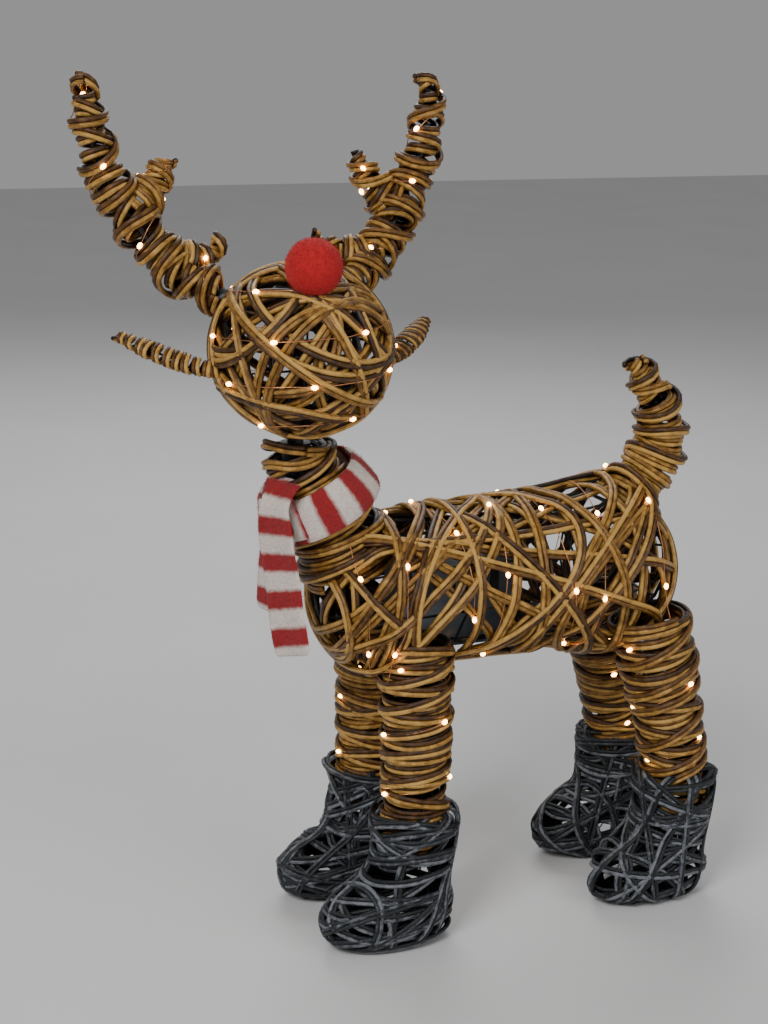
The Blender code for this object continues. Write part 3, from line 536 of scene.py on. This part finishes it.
def lamp_material():
    """A lit bulb, warm white."""
    s = Shader("warm_led", 0.2, Emission_Strength=19.0)
    s.bsdf.inputs["Emission Color"].default_value = (1.0, 0.54, 0.18, 1.0)
    s.colour(s.ramp(s.noise(300.0), [(0.3, (0.9, 0.65, 0.3)), (0.7, (1.0, 0.85, 0.6))]))
    return s.made


STRIPE_REPEAT = 0.0327

RATTAN = rattan_material()
CHARCOAL = charcoal_material()
STEEL = moulded_material("black_steel", (0.008, 0.008, 0.009), (0.030, 0.029, 0.028), 0.38)
PLASTIC = moulded_material("black_plastic", (0.010, 0.010, 0.011), (0.030, 0.030, 0.032), 0.45)
BOX_PLASTIC = moulded_material("box_plastic", (0.090, 0.115, 0.145), (0.160, 0.190, 0.230), 0.36, 700.0)
FOAM = moulded_material("seal_foam", (0.020, 0.020, 0.020), (0.050, 0.050, 0.050), 0.85, 1500.0)
BATTERY = moulded_material("battery_wrap", (0.030, 0.075, 0.032), (0.080, 0.150, 0.082), 0.35)
CONTACT = metal_material("contact_metal", (0.62, 0.60, 0.56), (0.30, 0.28, 0.25), 0.28)
BOARD = moulded_material("circuit_board", (0.010, 0.075, 0.030), (0.030, 0.130, 0.060), 0.35)
COPPER = metal_material("copper_wire", (0.80, 0.36, 0.16), (0.42, 0.16, 0.07), 0.28)
FELT = felt_material()
FLEECE = fleece_material()
LAMP = lamp_material()

FINISH = {"black_steel": STEEL, "black_plastic": PLASTIC, "box_plastic": BOX_PLASTIC, "seal_foam": FOAM,
          "battery_wrap": BATTERY, "contact_metal": CONTACT, "circuit_board": BOARD,
          "rattan": RATTAN, "charcoal_rattan": CHARCOAL, "red_felt": FELT, "striped_fleece": FLEECE,
          "warm_led": COPPER}


def finish_nodes():
    """Each CAD node takes the finish of the slot that its own material is named after."""
    for item in frame["nodes"].values():
        slot = item.data.materials[0].name.split(".")[0]
        item.data.materials.clear()
        item.data.materials.append(FINISH[slot])


finish_nodes()


# Wraps

WINDOW = SHIFT + np.array([0.02, -0.105, 0.316])  # the weave is open here, beside the battery box
WINDOW_REACH = np.array([0.036, 0.022])
WINDOW_KEPT = 0.35            # the share of loops over the opening that stay
RING_LOW, RING_HIGH = (np.array(c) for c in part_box("hatch_ring"))
HATCH = (RING_LOW + RING_HIGH) / 2
HATCH_HALF = (RING_HIGH - RING_LOW)[:2] / 2 + 0.0058     # to the middle of the strip round the hatch
HATCH_ROUND = 0.016


def over_window(points):
    """Whether a loop crosses the opening beside the battery box."""
    away = (points - WINDOW)[:, 1:] / WINDOW_REACH
    return bool(((points[:, 0] > WINDOW[0]) & (np.linalg.norm(away, axis=1) < 1)).any())


def outside_hatch(points, normals):
    """A loop's pieces outside the belly hatch: the whole loop where it misses the hatch."""
    inside = np.all(np.abs((points - HATCH)[:, :2]) < HATCH_HALF, axis=1) & (points[:, 2] < HATCH[2] + 0.04)
    if not inside.any():
        return [(points, normals, True)]
    first = int(np.flatnonzero(inside & ~np.roll(inside, -1))[0]) + 1
    pieces, run = [], []
    for i in (np.arange(len(points)) + first) % len(points):
        if not inside[i]:
            run.append(i)
        elif run:
            pieces.append(run)
            run = []
    pieces.append(run)
    return [(points[run], normals[run], False) for run in pieces if len(run) > 6]


def hatch_rim(form):
    """The strip wound round the hatch, over the ends of the others."""
    corners = [(1, -1), (1, 1), (-1, 1), (-1, -1)]
    flat = []
    for k, (x, y) in enumerate(corners):
        middle = HATCH[:2] + np.array([x, y]) * (HATCH_HALF - HATCH_ROUND)
        for angle in np.linspace(-0.5, 0.0, 7) * math.pi + k * math.pi / 2:
            flat.append(middle + HATCH_ROUND * np.array([math.cos(angle), math.sin(angle)]))
    flat = resample(np.column_stack([np.array(flat), np.zeros(len(flat))]), STEP, True)
    core = flat + [0, 0, HATCH[2] + 0.06]
    points = smoothed(form.hit(core, np.tile([0, 0, -1.0], (len(core), 1))), 2, True)
    normals = unit(smoothed(form.normals(points), 3, True))
    return points - normals * form.bedding, normals, True


def torso_axis(t):
    return SHIFT + np.array([0, TORSO_FRONT + TORSO_LENGTH * t, TORSO_AXIS + 0.004 * t])


def torso_wrap():
    """Hoops along the torso, then loops that cross them at a slant, then loops at any angle."""
    form, wrap = Solid(torso_level, 0.0058), Wrap()
    plans = []
    for t in np.linspace(0.04, 0.96, 15):
        plans.append((torso_axis(t), unit([rng.normal(0, 0.20), 1, rng.normal(0, 0.20)])))
    for t in rng.uniform(0.08, 0.92, 25):
        slant = [rng.normal(0, 0.50), 1, rng.choice([-1, 1]) * rng.uniform(0.45, 1.3)]
        plans.append((torso_axis(t), unit(slant)))
    for _ in range(11):
        off = np.array([rng.uniform(-0.05, 0.05), rng.uniform(-0.10, 0.10), rng.uniform(-0.045, 0.045)])
        plans.append((torso_axis(0.5) + off, unit([rng.normal(0, 1), rng.normal(0, 0.6), rng.normal(0, 1)])))
    for i in rng.permutation(len(plans)):
        points, normals, _ = form.loop(*plans[i])
        kept = rng.random() < WINDOW_KEPT
        if kept or not over_window(points):
            for piece in outside_hatch(points, normals):
                wrap.add(*piece)
    wrap.add(*hatch_rim(form))
    return wrap.mesh("torso_strips", "body", "rattan", RATTAN, ["torso_weave"])


def head_wrap():
    """Loops at any angle, each some way off the centre."""
    form, wrap = Solid(head_level, 0.0075), Wrap(0.0085)
    for _ in range(35):
        normal = unit(rng.normal(0, 1, 3))
        offset = rng.uniform(-0.72, 0.72)
        reach = math.sqrt(float(np.sum((HEAD_SIZE * normal) ** 2)))
        wrap.add(*form.loop(HEAD_CENTRE + normal * offset * reach, normal))
    return wrap.mesh("head_strips", "head", "rattan", RATTAN, ["head_weave"])


def leg_path(side, y, rake):
    rows = [(LEG_SPREAD, y, 0.088), (LEG_SPREAD, y, 0.122), (LEG_SPREAD, y - 0.3 * rake, 0.1807),
            (LEG_SPREAD - 0.003, y - 0.7 * rake, 0.2394), (LEG_SPREAD - 0.006, y - rake, 0.285)]
    return [SHIFT + np.array([side * x, yy, z]) for x, yy, z in rows]


def limb_wrap(parts, name, body, replaced, ridge=RIDGE, most=MOST_LIFT):
    """parts: for each limb, its form and the windings as (start, stop, pitch, tilt)."""
    wrap = Wrap(most)
    for form, windings in parts:
        for start, stop, pitch, tilt in windings:
            wrap.add(*form.winding(start * form.length, stop * form.length, pitch, tilt))
    return wrap.mesh(name, body, "rattan", RATTAN, replaced, ridge)


def leg_wraps():
    made = []
    windings = [(0.0, 1.0, 0.0105, 0.09), (1.0, 0.04, 0.020, 0.22), (0.06, 1.0, 0.027, 0.30)]
    for name, (side, y, rake) in LEGS.items():
        thigh = LEG_RADIUS + (0.006 if name.startswith("rear") else 0.003)
        knee = LEG_RADIUS + 0.3 * (thigh - LEG_RADIUS)
        form = Limb(leg_path(side, y, rake), (LEG_RADIUS, LEG_RADIUS, knee, thigh, thigh))
        replaced = ["leg_weave_" + name]
        made.append(limb_wrap([(form, windings)], "leg_strips_" + name, "body", replaced, most=0.0058))
    return made


def neck_wrap():
    rows = [(0, -0.172, 0.346), (0, -0.192, 0.386), (0, -0.216, 0.430), (0, -0.228, 0.450),
            (0, -0.228, 0.461)]
    form = Limb([SHIFT + np.array(r) for r in rows], (0.050, 0.046, 0.039, 0.036, 0.034), 0.007)
    windings = [(0.0, 1.0, 0.0105, 0.10), (1.0, 0.0, 0.019, 0.22), (0.0, 0.95, 0.03, 0.26)]
    return limb_wrap([(form, windings)], "neck_strips", "body", ["neck_weave"])


def tail_wrap():
    rows = [(0, 0.0996, 0.382), (0, 0.1296, 0.416), (0, 0.1396, 0.446), (0, 0.1296, 0.480),
            (0, 0.1056, 0.516)]
    form = Limb([SHIFT + np.array(r) for r in rows], (0.027, 0.027, 0.024, 0.019, 0.010))
    windings = [(0.0, 1.0, 0.0115, 0.16), (1.0, 0.0, 0.018, 0.36), (0.05, 0.97, 0.026, 0.45)]
    return limb_wrap([(form, windings)], "tail_strips", "body", ["tail_weave"])


def ear_wraps():
    """Flattened limbs, wound once from root to tip."""
    made = []
    rows = [(0.070, 0.002, -0.016), (0.098, 0.020, -0.009), (0.122, 0.040, 0.000), (0.143, 0.064, 0.009)]
    radii, bedding, flat = (0.010, 0.0138, 0.0132, 0.0085), 0.0022, 0.54
    for name, side in (("left", 1), ("right", -1)):
        form = Limb(head_points(side, rows), radii, bedding, flat, np.array([0, 1.0, 0]))
        replaced = ["ear_weave_" + name]
        made.append(limb_wrap([(form, [(0.0, 1.0, 0.0088, 0.05)])], "ear_strips_" + name, "head", replaced,
                              EAR_RIDGE))
    return made


ANTLER_ROOT = np.array([-0.03598, 0.05125, 0.12482])  # from the swivel to where the left peg leaves the head
ANTLER_WAY = unit([-0.44, 0.52, 0.73])                # along the left peg


def antler_root(side):
    return SWIVEL + ANTLER_ROOT * [1, side, 1]


def antler_points(side, rows):
    """Points given from the place where the antler's peg leaves the head: out, back and up."""
    return [antler_root(side) + np.array([-back, side * out, up]) for out, back, up in rows]


def antler_lines(side):
    beam = antler_points(side, [(0.0034, 0.0028, 0.0048), (0.0364, 0.0203, 0.0226),
                                (0.0663, 0.0320, 0.0605), (0.0896, 0.0469, 0.0967),
                                (0.1046, 0.0484, 0.1449), (0.1053, 0.0545, 0.1862)])
    whole = resample(spline(beam, 120), 0.002)
    low_start, mid_start = (whole[int(share * (len(whole) - 1))] for share in (0.27, 0.47))
    low = [low_start] + antler_points(side, [(0.0139, 0.0290, 0.0307), (-0.0097, 0.0399, 0.0469)])
    mid = [mid_start] + antler_points(side, [(0.0527, 0.0467, 0.0881), (0.0363, 0.0525, 0.1180)])
    return beam, low, mid


def antler_wraps():
    made = {}
    beam_windings = [(0.0, 1.0, 0.0150, 0.20), (1.0, 0.02, 0.024, 0.42), (0.04, 0.98, 0.034, 0.58)]
    tine_windings = [(0.0, 1.0, 0.0120, 0.18), (1.0, 0.1, 0.022, 0.40)]
    for name, side in (("left", 1), ("right", -1)):
        beam, low, mid = antler_lines(side)
        parts = [(Limb(beam, (0.019, 0.021, 0.022, 0.020, 0.0175, 0.011), 0.0062), beam_windings),
                 (Limb(low, (0.014, 0.0155, 0.010), 0.006), tine_windings),
                 (Limb(mid, (0.015, 0.018, 0.012), 0.006), tine_windings)]
        body = "antler_" + name
        made[body] = [limb_wrap(parts, "antler_strips_" + name, body, ["antler_weave_" + name])]
    return made


def boot_wraps():
    """Level turns from sole to top, slanting turns, and loops over the toe. None goes below the floor."""
    for name, (side, y, _) in LEGS.items():
        centre = SHIFT + np.array([side * LEG_SPREAD, y, 0])
        form, wrap = Solid(boot_level(centre), 0.0062), Wrap(0.0070)
        plans = []
        for z in np.linspace(0.010, 0.125, 12):
            plans.append((centre + [0, -0.004, z], unit([rng.normal(0, 0.16), rng.normal(0, 0.20), 1])))
        for z in rng.uniform(0.015, 0.118, 10):
            plans.append((centre + [0, -0.006, z], unit([rng.normal(0, 0.45), rng.normal(0, 0.50), 1])))
        for _ in range(10):
            inside = centre + [rng.uniform(-0.02, 0.02), rng.uniform(-0.062, 0.006), 0.024]
            plans.append((inside, unit([rng.normal(0, 0.6), rng.normal(0, 1), rng.normal(0, 0.35)])))
        for i in rng.permutation(len(plans)):
            wrap.add(*form.loop(*plans[i]))
        wrap.mesh("boot_strips_" + name, "body", "charcoal_rattan", CHARCOAL, ["boot_" + name],
                  BOOT_RIDGE, BOOT_RIDGE + 0.0001)


WRAPPED = {
    "body": [torso_wrap(), *leg_wraps(), neck_wrap(), tail_wrap()],
    "head": [head_wrap(), *ear_wraps()],
    **antler_wraps(),
}
boot_wraps()


# Light strings: copper wire laid over the wrap, with a bulb every few centimetres


def skin_tree(items):
    verts, faces = [], []
    for item in items:
        start = len(verts)
        verts += [v.co.copy() for v in item.data.vertices]
        faces += [[start + k for k in p.vertices] for p in item.data.polygons]
    return BVHTree.FromPolygons(verts, faces)


def laid_on(tree, points, outs, above):
    """Drops points onto the wrap from outside, each along its own way in. A miss keeps its place."""
    found = []
    for p, out in zip(points, outs):
        start = Vector(p + out * 0.03)
        hit = tree.ray_cast(start, -Vector(out), 0.05)[0]
        found.append(np.array(hit) + out * above if hit is not None else p)
    return np.array(found)


def tube_mesh(name, line, radius, material):
    _, side, up = carried_frames(line)
    sides = 6
    turns = np.arange(sides) * 2 * math.pi / sides
    ring = side[:, None, :] * np.cos(turns)[None, :, None] + up[:, None, :] * np.sin(turns)[None, :, None]
    verts = (line[:, None, :] + ring * radius).reshape(-1, 3)
    faces = []
    for i in range(len(line) - 1):
        for k in range(sides):
            after = (k + 1) % sides
            faces.append((i * sides + k, i * sides + after, (i + 1) * sides + after, (i + 1) * sides + k))
    faces.append(tuple(range(sides))[::-1])
    faces.append(tuple((len(line) - 1) * sides + k for k in range(sides)))
    return mesh_object(name, verts, faces, material)


def bulb_mesh(name, places, ways, material):
    """Rice-grain bulbs: long rounded drops."""
    verts, faces = [], []
    profile = [(-1.55, 0.0), (-1.25, 0.62), (-0.5, 0.98), (0.35, 0.95), (1.05, 0.58), (1.35, 0.0)]
    sides = 8
    for spot, way in zip(places, ways):
        way = unit(way)
        a = unit(np.cross(way, [0.3, 0.5, 0.8]))
        b = np.cross(way, a)
        start = len(verts)
        for height, wide in profile:
            for k in range(sides):
                turn = 2 * math.pi * k / sides
                out = (a * math.cos(turn) + b * math.sin(turn)) * max(wide, 0.02)
                verts.append(spot + (way * height + out) * BULB)
        for i in range(len(profile) - 1):
            for k in range(sides):
                after = (k + 1) % sides
                low, high = start + i * sides, start + (i + 1) * sides
                faces.append((low + k, low + after, high + after, high + k))
        faces.append(tuple(start + k for k in range(sides))[::-1])
        faces.append(tuple(start + (len(profile) - 1) * sides + k for k in range(sides)))
    return mesh_object(name, verts, faces, material)


def string_of_lights(word, body, tree, lines, step, replaced):
    """lines: pairs of points and outward ways, each the run of one wire, with a bulb at every step."""
    places, ways, wires = [], [], []
    for points, outs in lines:
        line = smoothed(laid_on(tree, points, outs, 0.0010), 3, False)
        wires.append(line)
        length = np.concatenate([[0], np.cumsum(np.linalg.norm(np.diff(line, axis=0), axis=1))])
        for at in np.arange(step * 0.5, length[-1], step):
            k = min(int(np.searchsorted(length, at)), len(line) - 2)
            places.append(line[k] + outs[k] * 0.0012)
            ways.append(line[k + 1] - line[k] + outs[k] * 0.0006 * rng.normal())
    wire = join([tube_mesh("run", line, WIRE, COPPER) for line in wires], "light_wire_" + word)
    place(wire, body, "warm_led", *replaced)
    bulbs = bulb_mesh("light_bulbs_" + word, places, ways, LAMP)
    place(bulbs, body, "warm_led", *replaced)


def join(items, name):
    """One object from several with the same material."""
    verts, faces = [], []
    for item in items:
        start = len(verts)
        verts += [v.co.copy() for v in item.data.vertices]
        faces += [tuple(start + k for k in p.vertices) for p in item.data.polygons]
    material = items[0].data.materials[0]
    for item in items:
        bpy.data.objects.remove(item)
    return mesh_object(name, verts, faces, material)


def limb_run(form, start, stop, turns, first):
    """A loose helix along a limb."""
    count = 90
    share = np.linspace(0, 1, count)
    along = (start + (stop - start) * share) * form.length
    turn = first + turns * 2 * math.pi * share + 0.5 * np.sin(share * 17 + first)
    points, outs = form.at(along, turn)
    return points, unit(outs)


def solid_run(form, centre, axis, turns, count, share, lean=0.0, swing=0.0):
    """A helix about an axis through the form, or with swing a line to and fro across lean."""
    a = unit(np.cross(axis, [0.2, 0.1, 1.0]))
    b = np.cross(axis, a)
    t = np.linspace(-share, share, count)
    turn = turns * math.pi * (t + share) / share
    turn = lean + (swing * np.sin(turn) if swing else turn)
    points, outs = [], []
    for along, angle in zip(t, turn):
        middle = centre + axis * along
        way = unit(a * math.cos(angle) + b * math.sin(angle))
        points.append(form.hit(middle, way[None, :])[0])
        outs.append(way)
    return np.array(points), np.array(outs)


def lights():
    """One string for each moving group and leg. The torso's swings over the back and clear of the hatch."""
    body_tree, head_tree = skin_tree(WRAPPED["body"]), skin_tree(WRAPPED["head"])
    middle = SHIFT + np.array([0, TORSO_FRONT + TORSO_LENGTH * 0.5, 0.323])
    torso = Solid(torso_level)
    torso_run = solid_run(torso, middle, np.array([0, 1.0, 0]), 3.3, 420, 0.16, -1.37, 2.15)
    for name, (side, y, rake) in LEGS.items():
        form = Limb(leg_path(side, y, rake), (LEG_RADIUS, LEG_RADIUS, 0.033, 0.035, 0.035))
        run = limb_run(form, 0.24, 0.92, 2.2, rng.uniform(0, 6))
        string_of_lights("leg_" + name, "body", body_tree, [run], 0.068, ["led_string_leg_" + name])
    string_of_lights("body", "body", body_tree, [torso_run], 0.083, ["led_string_body"])
    head = Solid(head_level)
    head_run = solid_run(head, HEAD_CENTRE, np.array([0, 0, 1.0]), 3.3, 300, 0.062, 2.4)
    string_of_lights("head", "head", head_tree, [head_run], 0.085, ["led_string_head"])
    for name, side in (("left", 1), ("right", -1)):
        body = "antler_" + name
        beam, _, mid = antler_lines(side)
        beam_form = Limb(beam, (0.02, 0.021, 0.022, 0.020, 0.018, 0.011))
        runs = [limb_run(beam_form, 0.06, 0.97, 3.1, 1.0 + side),
                limb_run(Limb(mid, (0.015, 0.018, 0.012)), 0.3, 0.95, 0.8, 2.0)]
        string_of_lights(body, body, skin_tree(WRAPPED[body]), runs, 0.058, ["led_string_" + body])


lights()


# Soft goods


def fuzz(item, count, length, width, seed):
    """Short fibres standing off a mesh, joined into it. Each takes its root's value of along."""
    draw = np.random.default_rng(seed)
    mesh = item.data
    mesh.calc_loop_triangles()
    points = np.array([v.co for v in mesh.vertices])
    tris = np.array([t.vertices for t in mesh.loop_triangles])
    has = "along" in mesh.attributes
    along = np.array([d.value for d in mesh.attributes["along"].data]) if has else np.zeros(len(points))
    a, b, c = points[tris[:, 0]], points[tris[:, 1]], points[tris[:, 2]]
    cross = np.cross(b - a, c - a)
    area = np.linalg.norm(cross, axis=1)
    pick = draw.choice(len(tris), count, p=area / area.sum())
    u, v = draw.random(count), draw.random(count)
    u, v = np.where(u + v > 1, 1 - u, u), np.where(u + v > 1, 1 - v, v)
    root = a[pick] + (b - a)[pick] * u[:, None] + (c - a)[pick] * v[:, None]
    normal = unit(cross[pick])
    lean = unit(normal + 0.75 * draw.normal(size=(count, 3)))
    side = unit(np.cross(lean, draw.normal(size=(count, 3)))) * width
    reach = length * draw.uniform(0.5, 1.3, count)[:, None]
    bend = draw.normal(size=(count, 3)) * length * 0.35
    tip = root + lean * reach + bend
    knee = root + lean * reach * 0.55
    base = root - normal * 0.0004
    narrow = side * 0.7
    verts = np.stack([base - side, base + side, knee - narrow, knee + narrow, tip], axis=1).reshape(-1, 3)
    start = len(points)
    faces = [tuple(p.vertices) for p in mesh.polygons]
    for k in range(count):
        n = start + 5 * k
        faces += [(n, n + 1, n + 3, n + 2), (n + 2, n + 3, n + 4)]
    made = bpy.data.meshes.new(item.name)
    made.from_pydata([tuple(v) for v in np.vstack([points, verts])], [], faces)
    made.shade_smooth()
    made.materials.append(mesh.materials[0])
    give_values(made, "along", np.concatenate([along, np.repeat(along[tris[pick, 0]], 5)]))
    item.data = made


def felt_nose():
    """A slightly uneven ball with fibres."""
    centre = HEAD_CENTRE + np.array([0.0519, -0.0085, 0.0778])
    bm = bmesh.new()
    bmesh.ops.create_icosphere(bm, subdivisions=5, radius=0.0236)
    for v in bm.verts:
        way = v.co.normalized()
        v.co *= 1 + 0.020 * noise.noise(way * 3.1) + 0.010 * noise.noise(way * 11.0)
    mesh = bpy.data.meshes.new("felt_nose")
    bm.to_mesh(mesh)
    bm.free()
    mesh.shade_smooth()
    mesh.materials.append(FELT)
    item = bpy.data.objects.new("felt_nose", mesh)
    bpy.context.scene.collection.objects.link(item)
    for v in mesh.vertices:
        v.co += Vector(centre)
    fuzz(item, 5200, 0.0019, 0.00011, 5)
    place(item, "head", "red_felt", "nose")


SCARF_WIDE, SCARF_THICK = 0.039, 0.0046


def ribbon(name, line, width_ways, widths, start_along, curl=0.0):
    """A strip of fleece along a line: rounded edges, a slight curl and soft creases."""
    line = np.asarray(line, float)
    tangent = unit(np.gradient(line, axis=0))
    across = unit(width_ways - tangent * np.sum(width_ways * tangent, axis=1, keepdims=True))
    out = np.cross(across, tangent)
    length = np.concatenate([[0], np.cumsum(np.linalg.norm(np.diff(line, axis=0), axis=1))])
    outline = []
    wide = 22
    for k in range(wide + 1):
        outline.append((-1 + 2 * k / wide, 1))
    for k in range(wide + 1):
        outline.append((1 - 2 * k / wide, -1))
    verts, alongs = [], []
    for i, p in enumerate(line):
        for s_, face in outline:
            edge = (1 - abs(s_) ** 7) ** 0.5
            crease = 0.0016 * noise.noise(Vector((s_ * 1.1, length[i] * 26, start_along * 9)))
            lift = curl * (s_**2 - 0.4) + crease + face * edge * SCARF_THICK / 2
            verts.append(p + across[i] * (s_ * widths[i] / 2) + out[i] * lift)
            alongs.append(start_along + length[i])
    n = len(outline)
    faces = []
    for i in range(len(line) - 1):
        for k in range(n):
            after = (k + 1) % n
            faces.append((i * n + k, i * n + after, (i + 1) * n + after, (i + 1) * n + k))
    faces.append(tuple(range(n))[::-1])
    faces.append(tuple((len(line) - 1) * n + k for k in range(n)))
    item = mesh_object(name, verts, faces, FLEECE)
    give_values(item.data, "along", alongs)
    return item, float(length[-1])


def scarf():
    """A loop round the neck and two tails that hang in front: one strip of fleece in three pieces."""
    low, high = SHIFT + np.array([0, -0.192, 0.386]), SHIFT + np.array([0, -0.216, 0.430])
    axis = unit(high - low)
    centre = low + (high - low) * 0.72
    u, v = np.array([1.0, 0, 0]), np.cross(axis, [1.0, 0, 0])
    out, knot_way = unit([0.52, -0.86, 0]), unit([0.030, -0.040, -0.004])
    hang = np.cross([0, 0, 1.0], out)
    first = math.atan2(float(knot_way @ v), float(knot_way @ u))
    turn = first + np.linspace(-0.10, 2 * math.pi + 0.22, 150)
    swing = np.linspace(0, 1, 150)
    radius = 0.0478 + 0.0030 * swing + 0.0012 * np.sin(turn * 3)
    rise = -0.004 + 0.006 * swing
    radial = np.cos(turn)[:, None] * u + np.sin(turn)[:, None] * v
    band = centre + radius[:, None] * radial + rise[:, None] * axis
    flare = axis - 0.26 * radial
    loop, loop_length = ribbon("scarf_loop", band, flare, np.full(150, SCARF_WIDE), 0.150, 0.0016)
    knot = centre + knot_way * 0.0522
    tails = []
    front, back = knot + out * 0.0072 - hang * 0.002, knot - out * 0.0030 - hang * 0.011
    plans = (("front", front, 0.127, 1, 0.008, 0.022), ("back", back, 0.096, -1, 0.47, -0.001))
    for name, start, drop, side, begin, lean in plans:
        z = np.concatenate([np.linspace(0.020, -0.004, 14), np.linspace(-0.006, -drop, 60)])
        fold = np.clip((z + 0.002) / 0.022, 0, 1) ** 2
        sway = 0.0022 * np.sin(z * 46 + side) * np.clip(-z / 0.05, 0, 1)
        line = start + np.outer(z, [0, 0, 1.0]) - np.outer(fold * 0.013, out) + np.outer(sway, out)
        line += np.outer(0.0025 * np.sin(z * 30) * side + lean * np.clip(-z / drop, 0, 1) ** 1.2, hang)
        ways = np.tile(hang, (len(z), 1))
        widths = SCARF_WIDE * (1.0 - 0.22 * np.exp(-(((z - 0.006) / 0.018) ** 2)))
        widths *= 0.86 + 0.14 * np.clip((z + drop) / 0.006, 0, 1) ** 0.5
        item, length = ribbon("scarf_tail_" + name, line[::-1], ways, widths[::-1], begin, 0.0018 * side)
        tails.append((item, length))
    fuzz(loop, 7000, 0.0020, 0.00014, 6)
    for seed, (item, _) in enumerate(tails):
        fuzz(item, 4200, 0.0020, 0.00014, 7 + seed)
    place(loop, "body", "striped_fleece", "scarf")
    for item, length in tails:
        place(item, "body", "striped_fleece", "scarf")


felt_nose()
scarf()


# Clips that hold the antlers


def antler_clips():
    """The collar that each antler's peg goes through."""
    for name, side in (("left", 1), ("right", -1)):
        base = antler_root(side)
        way = ANTLER_WAY * [1, side, 1]
        a = unit(np.cross(way, [0, 0, 1.0]))
        b = np.cross(way, a)
        profile = [(-0.001, 0.0055), (-0.001, 0.0100), (0.0004, 0.0112), (0.0042, 0.0112), (0.0056, 0.0100),
                   (0.0056, 0.0075), (0.0090, 0.0068), (0.0090, 0.0045), (-0.001, 0.0045)]
        sides = 28
        turns = [2 * math.pi * k / sides for k in range(sides)]
        verts = [base + way * h + (a * math.cos(turn) + b * math.sin(turn)) * r
                 for h, r in profile for turn in turns]
        faces = []
        for i in range(len(profile)):
            low, high = i * sides, (i + 1) % len(profile) * sides
            for k in range(sides):
                after = (k + 1) % sides
                faces.append((low + k, low + after, high + after, high + k))
        clip = mesh_object("antler_clip_" + name, verts, faces, PLASTIC)
        place(clip, "head", "black_plastic")


antler_clips()


# Floor, lights and camera


def area_light(name, spot, target, size, power):
    data = bpy.data.lights.new(name, "AREA")
    data.size, data.energy = size, power
    item = bpy.data.objects.new(name, data)
    bpy.context.scene.collection.objects.link(item)
    item.location = spot
    item.rotation_mode = "QUATERNION"
    item.rotation_quaternion = (Vector(target) - Vector(spot)).to_track_quat("-Z", "Y")
    return item


def studio():
    """A plain pale floor and soft light from three sides and all round."""
    bpy.ops.mesh.primitive_plane_add(size=14, location=(0, 0, 0))
    floor = bpy.context.object
    floor.name = "floor"
    shade = Shader("floor_paint", 0.75)
    shade.colour(shade.ramp(shade.noise(3.0), [(0.3, (0.60, 0.60, 0.60)), (0.7, (0.63, 0.63, 0.63))]))
    floor.data.materials.append(shade.made)
    middle = (0, 0, 0.40)
    area_light("key", (1.7, -1.9, 2.3), middle, 1.1, 70)
    area_light("fill", (2.4, 1.4, 1.3), middle, 2.0, 26)
    area_light("rim", (-1.9, 0.6, 2.0), middle, 1.6, 30)
    world = bpy.data.worlds.new("studio")
    world.use_nodes = True
    world.node_tree.nodes["Background"].inputs["Color"].default_value = (0.84, 0.84, 0.84, 1)
    world.node_tree.nodes["Background"].inputs["Strength"].default_value = 0.37
    bpy.context.scene.world = world


def camera():
    """At the photograph's angle."""
    azimuth, elevation, distance = math.radians(67), math.radians(15), 1.70
    target = Vector(SHIFT + np.array([0, -0.143, 0.392]))
    back = Vector((math.sin(azimuth) * math.cos(elevation), -math.cos(azimuth) * math.cos(elevation),
                   math.sin(elevation)))
    data = bpy.data.cameras.new("camera")
    data.sensor_width, data.lens = 36.0, 66.8
    item = bpy.data.objects.new("camera", data)
    bpy.context.scene.collection.objects.link(item)
    item.location = target + back * distance
    item.rotation_mode = "QUATERNION"
    roll = Quaternion((0, 0, 1), 0.02)
    item.rotation_quaternion = (-back).to_track_quat("-Z", "Y") @ roll
    bpy.context.scene.camera = item


studio()
camera()
